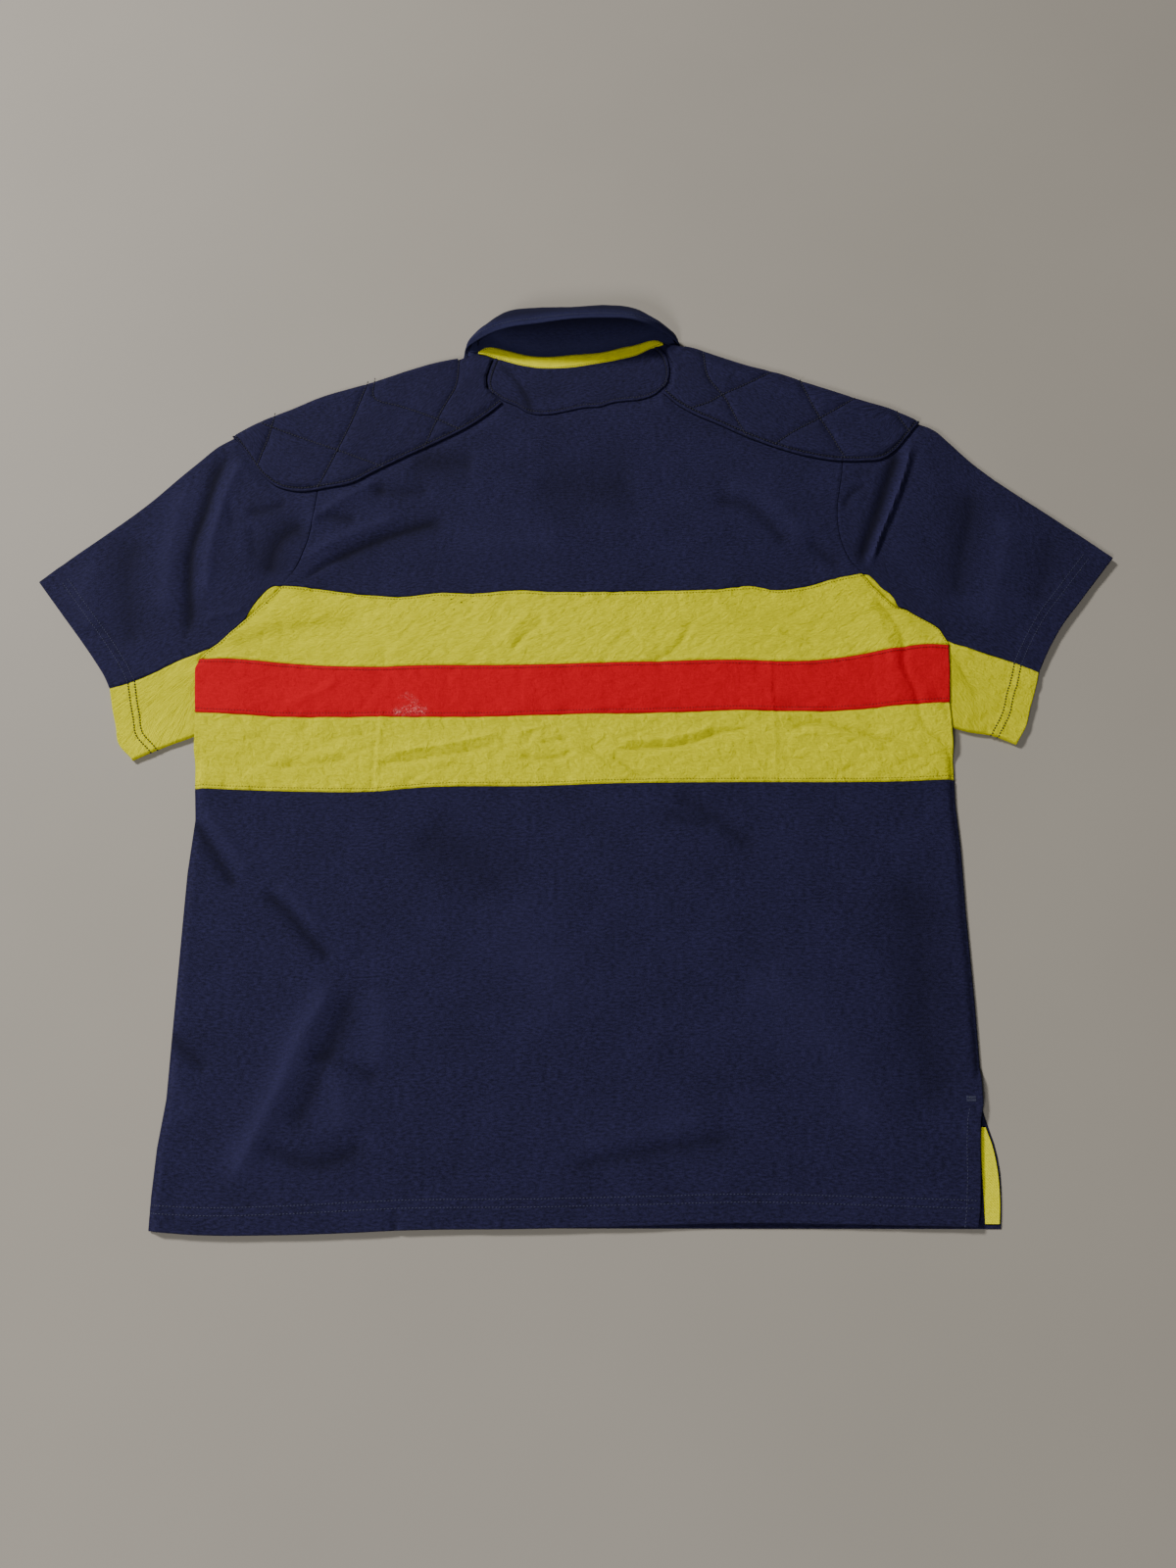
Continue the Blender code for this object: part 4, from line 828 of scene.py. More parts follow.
def make_cloth_face():
    """Group: ribs of a knit or twill, loose fibres and a mottled tone, from a piece's UV."""
    tree = bpy.data.node_groups.new("cloth_face", "ShaderNodeTree")
    tree.interface.new_socket("Vector", in_out="INPUT", socket_type="NodeSocketVector")
    for label in CLOTH_SETTINGS:
        tree.interface.new_socket(label, in_out="INPUT", socket_type="NodeSocketFloat")
    for label in ("Height", "Tone"):
        tree.interface.new_socket(label, in_out="OUTPUT", socket_type="NodeSocketFloat")
    given = add(tree, "NodeGroupInput").outputs
    place = add(tree, "ShaderNodeSeparateXYZ", {0: given["Vector"]}).outputs
    across_ribs = maths(tree, "MULTIPLY_ADD", place[1], given["Slope"], place[0])
    ribs = maths(tree, "SINE", maths(tree, "MULTIPLY", across_ribs,
                                     maths(tree, "MULTIPLY", given["Ribs"], 2 * pi)))
    courses = maths(tree, "SINE", maths(tree, "MULTIPLY", place[1],
                                        maths(tree, "MULTIPLY", given["Ribs"], 2.6 * pi)))
    weave = maths(tree, "MULTIPLY_ADD", ribs, 0.3, maths(tree, "MULTIPLY", courses, 0.15))
    squeezed = add(tree, "ShaderNodeCombineXYZ", {
        0: place[0], 1: maths(tree, "MULTIPLY", place[1], 2.6), 2: place[2]}).outputs[0]
    fibres = add(tree, "ShaderNodeTexNoise", {
        "Vector": squeezed, "Scale": given["Fibres"], "Detail": 4.0, "Roughness": 0.65})
    streaks = add(tree, "ShaderNodeTexNoise", {
        "Vector": squeezed, "Scale": maths(tree, "MULTIPLY", given["Fibres"], 0.27),
        "Detail": 3.0, "Roughness": 0.6})
    mottle = add(tree, "ShaderNodeTexNoise", {
        "Vector": given["Vector"], "Scale": given["Mottle"], "Detail": 3.0,
        "Roughness": 0.55})
    crumple = add(tree, "ShaderNodeTexNoise", {
        "Vector": given["Vector"], "Scale": 120.0, "Detail": 5.0, "Roughness": 0.58,
        "Distortion": 0.9})
    height = maths(tree, "ADD", maths(tree, "MULTIPLY", weave, 0.5),
                   maths(tree, "ADD", fibres.outputs[0], streaks.outputs[0]))
    height = maths(tree, "MULTIPLY_ADD", crumple.outputs[0], given["Crumple"], height)
    tone = maths(tree, "ADD", maths(tree, "MULTIPLY", fibres.outputs[0], 0.36),
                 maths(tree, "ADD", maths(tree, "MULTIPLY", streaks.outputs[0], 0.54),
                       maths(tree, "MULTIPLY", mottle.outputs[0], 0.10)))
    add(tree, "NodeGroupOutput", {"Height": height, "Tone": tone})
    return tree


def new_finish(name):
    material = bpy.data.materials.new(name)
    material.use_nodes = True
    return material, material.node_tree, material.node_tree.nodes["Principled BSDF"]


def cloth_finish(name, dark, light, ribs, slope, bump, crumple, fibres=900.0, mottle=28.0,
                 contrast=2.4, sheen=0.0, faded_lit_ridge=None, scuffed=None, painted_tone_full_at=9.0, shadow=0.5):
    """A fabric: two tones mixed by its fibres, lighter on ridges (fading and painted light),
    darker in hollows (painted shade), with ribs and fuzz in relief.
    """
    material, tree, shader = new_finish(name)
    painted_tone_depth[material.name] = painted_tone_full_at
    drawn = add(tree, "ShaderNodeUVMap").outputs[0]
    face = add(tree, "ShaderNodeGroup", node_tree=cloth_face)
    feed(tree, face, {"Vector": drawn})
    feed(tree, face, dict(zip(CLOTH_SETTINGS, (ribs, slope, fibres, mottle, crumple))))
    tone = add(tree, "ShaderNodeMapRange", {
        0: face.outputs["Tone"], 1: 0.5 - 0.5 / contrast, 2: 0.5 + 0.5 / contrast})
    colour = mixed(tree, tone.outputs[0], (*dark, 1), (*light, 1))
    fold = add(tree, "ShaderNodeAttribute", attribute_name="fold").outputs["Fac"]
    # Ridges lighter by the fold attribute: partly fading, partly painted light
    faded_lit_tone = faded_lit_ridge or tuple(min(1.0, 1.25 * c + 0.004) for c in light)
    up = maths(tree, "MULTIPLY", maths(tree, "MAXIMUM", fold, 0.0), 0.35)
    colour = mixed(tree, up, colour, (*faded_lit_tone, 1))
    # Hollows, grooves and edges darker by the fold attribute: painted shade, towards shadow times
    # the dark tone
    down = maths(tree, "MULTIPLY", maths(tree, "MAXIMUM",
                                         maths(tree, "MULTIPLY", fold, -1.0), 0.0), 0.85)
    colour = mixed(tree, down, colour, (*(shadow * c for c in dark), 1))
    if scuffed:
        worn = add(tree, "ShaderNodeAttribute", attribute_name="worn").outputs["Fac"]
        scratches = add(tree, "ShaderNodeTexNoise", {
            "Vector": drawn, "Scale": 420.0, "Detail": 5.0, "Roughness": 0.8,
            "Distortion": 1.2})
        worn = maths(tree, "MULTIPLY", worn, add(tree, "ShaderNodeMapRange", {
            0: scratches.outputs[0], 1: 0.5, 2: 0.62}).outputs[0])
        colour = mixed(tree, worn, colour, (*scuffed, 1))
    rough = add(tree, "ShaderNodeMapRange", {0: face.outputs["Tone"], 3: 0.78, 4: 0.95})
    relief = add(tree, "ShaderNodeBump", {
        "Height": face.outputs["Height"], "Distance": 0.0006, "Strength": bump})
    feed(tree, shader, {"Base Color": colour, "Roughness": rough.outputs[0],
                        "Normal": relief.outputs[0], "Specular IOR Level": 0.15})
    if sheen:
        feed(tree, shader, {"Sheen Weight": sheen, "Sheen Roughness": 0.5,
                            "Sheen Tint": (0.55, 0.6, 1.0, 1.0)})
    return material


def thread_finish(name, colour):
    """Sewing thread: plies that turn round it, a little glossier than the cloth."""
    material, tree, shader = new_finish(name)
    place = add(tree, "ShaderNodeTexCoord").outputs["Object"]
    plies = add(tree, "ShaderNodeTexNoise", {"Vector": place, "Scale": 1600.0, "Detail": 2.0})
    tone = mixed(tree, plies.outputs[0], (*(0.7 * c for c in colour), 1),
                 (*(min(1.0, 1.25 * c) for c in colour), 1))
    relief = add(tree, "ShaderNodeBump", {
        "Height": plies.outputs[0], "Distance": 0.0002, "Strength": 0.5})
    feed(tree, shader, {"Base Color": tone, "Normal": relief.outputs[0], "Roughness": 0.6})
    return material


def make_resin():
    """Polished button resin with a faint swirl."""
    material, tree, shader = new_finish("button_resin")
    swirl = add(tree, "ShaderNodeTexNoise", {
        "Vector": add(tree, "ShaderNodeTexCoord").outputs["Object"], "Scale": 180.0,
        "Detail": 3.0, "Distortion": 1.5}).outputs[0]
    tone = mixed(tree, swirl, (0.010, 0.011, 0.030, 1), (0.035, 0.038, 0.070, 1))
    rough = add(tree, "ShaderNodeMapRange", {0: swirl, 3: 0.25, 4: 0.45})
    feed(tree, shader, {"Base Color": tone, "Roughness": rough.outputs[0]})
    return material


cloth_face = make_cloth_face()
jersey = cloth_finish("navy_jersey", (0.0050, 0.0048, 0.0195), (0.0185, 0.0172, 0.062),
                      1300.0, 0.0, fibres=820.0, bump=0.7, crumple=1.8, contrast=4.8,
                      painted_tone_full_at=3.6)
collar_twill = cloth_finish("navy_twill", (0.0085, 0.0085, 0.034), (0.0190, 0.0200, 0.070),
                            1100.0, 0.8, mottle=60.0, bump=0.7, crumple=1.6, contrast=4.0,
                            sheen=0.03)
yellow_twill = cloth_finish("yellow_twill", (0.54, 0.51, 0.0), (0.76, 0.745, 0.0),
                            1000.0, 0.9, fibres=650.0, mottle=40.0, bump=1.0, crumple=4.2,
                            contrast=3.2, faded_lit_ridge=(0.84, 0.83, 0.0), painted_tone_full_at=12.0, shadow=0.3)
red_twill = cloth_finish("red_twill", (0.46, 0.0, 0.006), (0.60, 0.0, 0.012),
                         1000.0, 0.9, fibres=700.0, mottle=40.0, bump=0.8, crumple=2.2,
                         contrast=3.0, faded_lit_ridge=(0.66, 0.004, 0.018),
                         scuffed=(0.80, 0.36, 0.36), painted_tone_full_at=12.0)
yellow_tape = cloth_finish("yellow_herringbone", (0.60, 0.57, 0.0), (0.90, 0.88, 0.0),
                           420.0, 1.0, fibres=800.0, mottle=60.0, bump=0.9, crumple=0.8)
navy_thread = thread_finish("navy_thread", (0.0035, 0.0035, 0.011))
light_thread = thread_finish("blue_grey_thread", (0.024, 0.027, 0.070))
# Yellow and red thread are darker than the bands: painted shade of the dents and needle holes
# along the rows
yellow_thread_painted_shade = thread_finish("yellow_thread_painted_shade", (0.22, 0.19, 0.002))
red_thread_painted_shade = thread_finish("red_thread_painted_shade", (0.20, 0.0006, 0.004))
dark_thread = thread_finish("dark_thread", (0.014, 0.013, 0.014))
resin = make_resin()


# ---------------------------------------------------------------- stitches

def one_stitch():
    """A stitch 1 mm long and 1 mm wide, rounded and pulled down at its ends."""
    bpy.ops.mesh.primitive_uv_sphere_add(segments=6, ring_count=4, radius=0.5)
    obj = bpy.context.object
    points = np.array([v.co for v in obj.data.vertices])
    points = points[:, [2, 0, 1]]                      # its long way along X
    points[:, 2] -= 1.2 * np.abs(points[:, 0]) ** 2
    faces = [tuple(p.vertices) for p in obj.data.polygons]
    bpy.data.objects.remove(obj)
    return points, faces


STITCH_POINTS, STITCH_FACES = one_stitch()


def at_pitch(line, pitch):
    """Points spaced evenly along a line of 3-D points, half a space in from its start."""
    steps = np.linalg.norm(np.diff(line[:, :3], axis=0), axis=1)
    length = np.concatenate(([0.0], np.cumsum(steps)))
    at = np.arange(pitch / 2, length[-1], pitch)
    return np.stack([np.interp(at, length, column) for column in line.T], axis=1)


def line_in(name, side, inset, start=0.0, end=1.0, rows=None):
    """A line on a laid surface at a distance in from one of its edges, with its normals.

    inset may change along the edge, start and end are shares of the edge's length, and only
    the first rows of the surface are used where rows is given.
    """
    points = surfaces[name][:, :rows]
    normals = outward.get(name)
    if normals is None:
        normals = square(points)
        normals = normals if normals[..., 2].mean() > 0 else -normals
    away = from_edges(points)[side]
    data = np.concatenate((points, normals), axis=2)
    if side in ("left", "right"):
        away, data = away.T, data.transpose(1, 0, 2)
    if side in ("right", "high"):
        away, data = away[:, ::-1], data[:, ::-1]
    share = np.linspace(0, 1, len(data))
    inset = np.atleast_1d(inset)
    depth = np.interp(share, np.linspace(0, 1, len(inset)), inset)
    line = np.array([[np.interp(d, a, column) for column in rowdata.T]
                     for d, a, rowdata in zip(depth, away, data)])
    return line[(share >= start) & (share <= end)]


def stitched(name, finish, lines, pitch=STITCH, width=THREAD, share=0.72, tilt=0.0,
             sunk=0.1):
    """Rows of stitches along lines that hold points and normals, as one piece."""
    sites = [at_pitch(line, pitch) for line in lines if len(line) > 1]
    points, faces = [], []
    for site in sites:
        if len(site) < 2:
            continue
        middle, normal = site[:, :3], site[:, 3:6]
        ahead = np.gradient(middle, axis=0)
        ahead /= np.maximum(np.linalg.norm(ahead, axis=1, keepdims=True), 1e-9)
        beside = np.cross(normal, ahead)
        beside /= np.maximum(np.linalg.norm(beside, axis=1, keepdims=True), 1e-9)
        normal = np.cross(ahead, beside)
        ahead = ahead + tilt * beside
        size = np.array((pitch * share, width, width * 0.8))
        local = STITCH_POINTS * size
        middle = middle + normal * (width * 0.4 - sunk)
        made = (middle[:, None] + local[None, :, :1] * ahead[:, None]
                + local[None, :, 1:2] * beside[:, None] + local[None, :, 2:] * normal[:, None])
        made[..., 2] += np.maximum(LOWEST_STITCH - made[..., 2].min(axis=1), 0)[:, None]
        first = sum(len(p) for p in points)
        points.append(made.reshape(-1, 3))
        faces.extend(tuple(first + len(local) * k + v for v in face)
                     for k in range(len(site)) for face in STITCH_FACES)
    mesh = bpy.data.meshes.new(name)
    mesh.from_pydata(in_place(np.concatenate(points)).tolist(), [], faces)
    mesh.shade_smooth()
    mesh.materials.append(finish)
    obj = bpy.data.objects.new(name, mesh)
    bpy.context.scene.collection.objects.link(obj)
    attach(obj, "root")
    return obj


def on_height(points, height, count=40):
    """A smooth plan line laid on a height, with normals."""
    xy = along(points)(np.linspace(0, 1, count))
    step = 0.5

    def z(dx, dy):
        return height(xy[:, 0] + dx, xy[:, 1] + dy)
    slope = np.stack(((z(-step, 0) - z(step, 0)) / (2 * step),
                      (z(0, -step) - z(0, step)) / (2 * step), np.ones(len(xy))), axis=1)
    return np.concatenate((xy, z(0, 0)[:, None],
                           slope / np.linalg.norm(slope, axis=1, keepdims=True)), axis=1)


# ---------------------------------------------------------------- the back

def hemmed(inside, depth, thicker, dent):
    """Turned hem: a slightly thicker strip, dented by its two rows of stitches."""
    return (thicker * (1 - ramp(inside - depth, 1.5)) + groove(inside, depth, DENT, dent)
            + groove(inside, depth - COVER, DENT, dent))


def hem_detail(x, y, away):
    """The back's hem, and beside the vent the turned edge of the back."""
    depth = np.interp(x, np.linspace(-347, 338, len(HEM_ROWS)), HEM_ROWS)
    inside = away["low"]
    wave = 0.14 * lumps(x, y, 7, 40, 61) * np.exp(-((inside - 20) / 9) ** 2)
    vent = ramp(VENT_TOP - y, 6) * ramp(x, 60)
    beside = away["right"]
    return (hemmed(inside, depth, 0.35, 0.35) + wave
            + vent * (groove(beside, VENT_HEM, 0.9, 0.4) + 0.3 * (1 - ramp(beside - VENT_HEM, 2))))


def topstitch_detail(name):
    """Dents of a band's rows of topstitching."""
    def detail(x, y, away):
        height = 0.0
        for side, at in TOPSTITCHING[name]:
            wave = lumps(x, y, 5.5, 40, 77 + int(at)) * np.exp(-((away[side] - at) / 3.0) ** 2)
            height = height + groove(away[side], at, DENT, 0.28) + 0.16 * wave
        return height
    return detail


def scuff(x, y):
    """Abrasion of the red band: a broad smear and two thin strokes."""
    return sum(depth * np.exp(-(to_line(x, y, points)[0] / width) ** 2)
               for points, width, depth in zip(SCUFF, (4.0, 1.1, 1.1), (0.8, 0.45, 0.45)))


def build_back():
    seams = {"hem": across(HEM), "low": across(LOW_YELLOW_SEAM),
             "red_low": across(RED_LOW_SEAM), "red_top": across(RED_TOP_SEAM),
             "chest": across(CHEST_SEAM)}
    strips = (
        # name, finish, seam below, seam above, rise, cell, crinkle, edge curves, seams, detail
        ("back_lower", jersey, "hem", "low", 385, 3.2, 0.0, side_piece(LEFT_SIDE, -466, -80),
         side_piece(RIGHT_SIDE, -459.5, -75), ("high",), hem_detail),
        ("back_band_low", yellow_twill, "low", "red_low", 74, 1.9, 1.0,
         side_piece(LEFT_SIDE, -80, -5), side_piece(RIGHT_SIDE, -75, 0), ("low", "high"),
         topstitch_detail("back_band_low")),
        ("back_band_middle", red_twill, "red_low", "red_top", 53, 2.1, 0.45,
         side_piece(LEFT_SIDE, -5, 50), side_piece(RIGHT_SIDE, 0, 58), ("low", "high"),
         topstitch_detail("back_band_middle")),
        ("back_band_high", yellow_twill, "red_top", "chest", 76, 2.0, 1.0,
         along(LEFT_DIAGONAL), along(RIGHT_DIAGONAL), ("low", "high"),
         topstitch_detail("back_band_high")),
    )
    for name, finish, low, high, rise, cell, crinkle, left, right, sewn_sides, extra in strips:
        flat_piece(
            name, finish, graded(700, min(2.9, 1.1 * cell)), graded(rise, cell),
            patch(seams[low], seams[high], left, right),
            lambda x, y, c=crinkle: back_under(x, y, c), (name,),
            edges=("left", "right", "low") if low == "hem" else ("left", "right"),
            seams=sewn_sides, extra=extra, worn=scuff if finish is red_twill else None)
    columns = np.array(BACK_TOP, float)[:, 0]
    columns = (columns - columns[0]) / (columns[-1] - columns[0])
    top = stepped(BACK_TOP)

    def neckline(u):
        return top(np.interp(u, columns, np.linspace(0, 1, len(columns))))
    flat_piece("back_upper", jersey, graded(560, 2.8), graded(220, 2.8),
               patch(seams["chest"], neckline, along(LEFT_ARMHOLE), along(RIGHT_ARMHOLE)),
               back_under, ("back_upper",), seams=("low", "left", "right"))


def front_side(y_low, y_high, sign):
    """Side edge of the front between two heights, under the back's edge but at the vent."""
    table = LEFT_SIDE if sign < 0 else RIGHT_SIDE
    inner = [(x - sign, y) for y, x in table if y_low < y < y_high]
    if sign > 0:
        vent = [(x, y) for y, x in FRONT_VENT_SIDE if y_low < y < y_high]
        inner = vent + [point for point in inner if point[1] > VENT_TOP]
    return inner


def build_front():
    """Front panels and bands, finished plainly as they face the floor."""
    corners = {"hem": ((-345.5, -463.5), (357.5, -461)), "low": ((-347.5, -81), (353, -77))}
    for seam, (x, y) in zip(("red_low", "red_top", "chest"),
                            (FRONT_ARMHOLE[1], FRONT_ARMHOLE[2], FRONT_ARMHOLE[4])):
        corners[seam] = ((-x, y), (x, y))
    between = {
        "low": [front_side(-460, -82, sign) for _, sign in SIDES],
        "red_low": [mirrored(((353, -50), *ARMPIT), sign) for _, sign in SIDES],
        "red_top": [(), ()],
        "chest": [mirrored(FRONT_ARMHOLE[3:4], sign) for _, sign in SIDES],
    }
    strips = (
        ("front_lower", jersey, "hem", "low", 385, 12),
        ("front_band_low", yellow_twill, "low", "red_low", 72, 10),
        ("front_band_middle", red_twill, "red_low", "red_top", 56, 10),
        ("front_band_high", yellow_twill, "red_top", "chest", 70, 10),
    )
    for name, finish, low, high, rise, cell in strips:
        curve = along if name == "front_lower" else stepped
        left, right = (curve([corners[low][i], *between[high][i], corners[high][i]])
                       for i in (0, 1))
        flat_piece(name, finish, graded(690, 12), graded(rise, cell),
                   patch(stepped(corners[low]), stepped(corners[high]), left, right),
                   front_under, (name,),
                   edges=("left", "right", "low") if low == "hem" else ("left", "right"))
    base, top = by_rows(0), by_rows(1)
    last = len(COLLAR_ROWS) - 1
    middle = PLACKET_HALF + SEAM
    chest_y = FRONT_ARMHOLE[4][1]
    for side, sign in SIDES:
        neck = []
        for row in range(FRONT_ROWS, 0, -1):
            seam, rim = (curve((row if sign < 0 else last - row) / last)[0, :2]
                         for curve in (base, top))
            neck.append(seam + NECK_CLEAR * (seam - rim) / np.linalg.norm(seam - rim))
        neck.append((sign * middle, neck[-1][1] - 0.8))
        shoulder = [(x, y - 0.6) for x, y in (BACK_TOP if sign < 0 else BACK_TOP[::-1])
                    if sign * x > 113]
        upper = shoulder + neck
        flat_piece("front_upper_" + side, jersey, np.linspace(0, 1, 6 * (len(upper) - 1) + 1),
                   np.linspace(0, 1, 25),
                   patch(stepped(((sign * 294, chest_y), (sign * middle, chest_y))),
                         stepped(upper), stepped(mirrored(FRONT_ARMHOLE[4:], sign)),
                         stepped(((sign * middle, chest_y), upper[-1]))),
                   front_under, ("front_upper_" + side,))


def build_placket():
    """Button strip down the middle of the front."""
    low, high = FRONT_ARMHOLE[4][1] + 0.2, 305.8
    half = PLACKET_HALF
    flat_piece("placket", collar_twill, graded(2 * half, 3), graded(high - low, 4),
               patch(stepped(((-half, low), (half, low))), stepped(((-half, high), (half, high))),
                     stepped(((-half, low), (-half, high))), stepped(((half, low), (half, high)))),
               front_under, ("placket",), PLACKET, edges=("left", "right"))


def build_button(number, y):
    """A button with a raised rim and four holes, on the underside of the placket."""
    bpy.ops.mesh.primitive_cylinder_add(
        vertices=48, radius=BUTTON_RADIUS * MM, depth=BUTTON_THICK * MM,
        location=(0, (y + CENTRE_Y) * MM,
                  float(front_under(0.0, float(y)) - SEAM - BUTTON_THICK / 2) * MM))
    button = bpy.context.object
    button.name = f"button_{number}_turned"
    bpy.ops.object.transform_apply(location=True, rotation=True, scale=True)
    bpy.ops.object.mode_set(mode="EDIT")
    bpy.ops.mesh.select_mode(type="FACE")
    bpy.ops.mesh.select_all(action="DESELECT")
    bpy.ops.object.mode_set(mode="OBJECT")
    for face in button.data.polygons:
        face.select = abs(face.normal.z) > 0.9
    bpy.ops.object.mode_set(mode="EDIT")
    bpy.ops.mesh.inset(thickness=BUTTON_RIM * MM, depth=0)
    bpy.ops.mesh.inset(thickness=BUTTON_DISH[0] * MM, depth=-BUTTON_DISH[1] * MM)
    bpy.ops.object.mode_set(mode="OBJECT")
    bevel = button.modifiers.new("rim", "BEVEL")
    bevel.width, bevel.segments, bevel.limit_method = 0.3 * MM, 3, "ANGLE"
    bpy.ops.object.modifier_apply(modifier=bevel.name)
    drill_holes(button, y)
    bpy.ops.object.shade_smooth_by_angle(angle=radians(35))
    button.data.materials.append(resin)
    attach(button, "root")
    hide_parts(f"button_{number}")
    button.select_set(False)


def drill_holes(button, y):
    """Four thread holes through a button."""
    for dx, dy in product((-HOLE_OUT, HOLE_OUT), repeat=2):
        bpy.ops.mesh.primitive_cylinder_add(vertices=16, radius=HOLE_RADIUS * MM, depth=8 * MM,
                                            location=(dx * MM, (y + dy + CENTRE_Y) * MM, 0))
        drill = bpy.context.object
        bpy.context.view_layer.objects.active = button
        cut = button.modifiers.new("hole", "BOOLEAN")
        cut.object, cut.operation, cut.solver = drill, "DIFFERENCE", "EXACT"
        bpy.ops.object.modifier_apply(modifier=cut.name)
        bpy.data.objects.remove(drill)
    bpy.ops.object.select_all(action="DESELECT")
    button.select_set(True)


# ---------------------------------------------------------------- sleeves, pads, neck

def build_sleeves():
    """Each sleeve: navy over the top and round the arm, yellow under it."""
    for side, sign, back_armhole in (("left", -1, LEFT_ARMHOLE), ("right", 1, RIGHT_ARMHOLE)):
        curves = {key: mirrored(points, sign) for key, points in SLEEVE_TABLES[side].items()}
        front_armhole = mirrored(FRONT_ARMHOLE, sign)
        front_corner, cuff_corner = front_armhole[3], curves["colour_seam"][-1]
        front_seam = along((front_corner, (sign * 345, 62), (sign * 395, 40), cuff_corner))
        upper = {
            "radius": FOLD_RADIUS, "side": sign, "fold": along(curves["fold"]),
            "top": sleeve_top, "under": front_under,
            "top_edge": along(curves["colour_seam"]), "low_edge": front_seam,
            "top_start": along(back_armhole), "top_end": along(curves["cuff"][::-1]),
            "low_start": stepped(front_armhole[:2:-1]), "low_end": along(curves["cuff"]),
        }

        def navy_detail(x, y, away):
            cuff = away["right"]
            return (sewn(away["low"], x, y, 31, 0.12) + sewn(away["left"], x, y, 33, *SMOOTH)
                    - rolled(cuff) + hemmed(cuff, CUFF_HEM, 0.3, 0.35))
        rows = np.concatenate((graded(190, 3.2, (True, False)), 1 + np.linspace(0, 1, 9)[1:-1],
                               2 + np.linspace(0, 1, 16)))
        folded_piece("sleeve_" + side, jersey, graded(330, 3.0), rows, upper,
                     ("sleeve_" + side,), navy_detail, CLOTH)

        lower = {
            "radius": FOLD_RADIUS, "side": -sign, "fold": along(curves["underarm"]),
            "top": lambda x, y: sleeve_top(x, y, 1.0), "under": front_under,
            "top_edge": along(curves["colour_seam"]), "low_edge": front_seam,
            "top_start": along(curves["hidden_edge"]), "top_end": along(curves["low_cuff"]),
            "low_start": stepped(front_armhole[:4]), "low_end": along(curves["low_cuff"][::-1]),
        }

        diagonal = LEFT_DIAGONAL if sign < 0 else RIGHT_DIAGONAL

        def yellow_detail(x, y, away, diagonal=diagonal):
            cuff, body_edge = away["right"], to_line(x, y, diagonal)[0]
            # The groove beside the body's edge is painted dark through the fold tone: painted
            # shadow of that edge
            return (sewn(away["low"], x, y, 41) - rolled(cuff) + groove(body_edge, 0, 1.8, 1.3)
                    + hemmed(cuff, CUFF_HEM, 0.3, 0.4))
        rows = np.concatenate((graded(80, 3.0, (True, False)), 1 + np.linspace(0, 1, 8)[1:-1],
                               2 + np.linspace(0, 1, 8)))
        folded_piece("sleeve_under_" + side, yellow_twill, graded(150, 2.6), rows, lower,
                     ("sleeve_under_" + side,), yellow_detail, CLOTH)


def quilted(sign):
    """Filling that stands up between the rows of quilting of one pad."""
    def height(x, y):
        away = np.full(x.shape, 1e9)
        for points in QUILTING[sign]:
            away = np.minimum(away, to_line(x, y, points)[0])
        wave = (0.5 * lumps(x, y, 26, 22, 51) + 0.28 * lumps(x, y, 11, 9, 52)
                + 0.3 * lumps(x, y, 6, 5, 54) * np.exp(-away / 8))
        return (1.5 * (1 - np.exp(-(away / 6.0) ** 1.1)) - 0.7 * np.exp(-(away / 1.6) ** 2)
                + wave * (1 - np.exp(-(away / 3.5) ** 2)))
    return height


def build_pads():
    """Shoulder pads, from their edge on the back over the shoulder to the underside."""
    for side, sign, edge, shoulder, end in (
            ("left", -1, LEFT_PAD_EDGE, LEFT_SHOULDER, LEFT_PAD_END),
            ("right", 1, RIGHT_PAD_EDGE, RIGHT_SHOULDER, RIGHT_PAD_END)):
        turned = [(sign * 136, shoulder[1][1] - PAD_TURN)]
        turned += [(x, y - PAD_TURN) for x, y in shoulder[2:-1]]
        turned.append((shoulder[-1][0], shoulder[-1][1] - PAD_TURN / 2))
        shape = {
            "radius": PAD_RADIUS, "side": sign, "top": pad_top, "under": lambda x, y: 0 * x,
            "fold": along(shoulder), "top_edge": along(edge), "low_edge": along(turned),
            "top_start": stepped(end), "top_end": along((edge[-1], shoulder[-1])),
            "low_start": along((shoulder[0], turned[0])),
            "low_end": along((shoulder[-1], turned[-1])),
        }
        puff = quilted(sign)

        def pad_detail(x, y, away, puff=puff):
            inside = away["low"]
            near_fold = ramp(away["high"] + 4, 10)
            return (puff(x, y) * ramp(inside - PAD_LINE, 5) * ramp(away["left"], 4) * near_fold
                    + groove(inside, PAD_LINE, 0.75, 1.0) - rolled(inside, 1.3)
                    - rolled(away["left"], 0.8)
                    + 0.16 * lumps(x, y, 6, 6, 53) * np.exp(-((inside - 4) / 3) ** 2))
        rows = np.concatenate((graded(85, 1.7, (True, False)), 1 + np.linspace(0, 1, 11)[1:-1],
                               2 + np.linspace(0, 1, 6)))
        piece = folded_piece("shoulder_pad_" + side, jersey, graded(270, 1.8), rows, shape,
                             ("shoulder_pad_" + side,), pad_detail, PAD)


def patch_detail(x, y, away):
    inside = np.minimum(np.minimum(away["low"], away["left"]), away["right"])
    diagonal, where = to_line(x, y, ((-80, 385), (-65, 370), (-55, 355), (-47, 340), (-43, 325)))
    return (groove(inside, PAD_LINE, 0.75, 0.8) - rolled(inside, 1.1)
            + 0.25 * lumps(x, y, 30, 22, 71) * ramp(inside - 3, 8)
            - 0.7 * np.exp(-(diagonal / 3.5) ** 2) * ramp(where, 0.3))


def tape_detail(x, y, away):
    both = np.minimum(away["low"], away["high"])
    return (groove(both, TAPE_ROW, 0.6, 0.35) + 0.15 * lumps(x, y, 7, 7, 81) * ramp(both, 2)
            - rolled(both, 0.8))


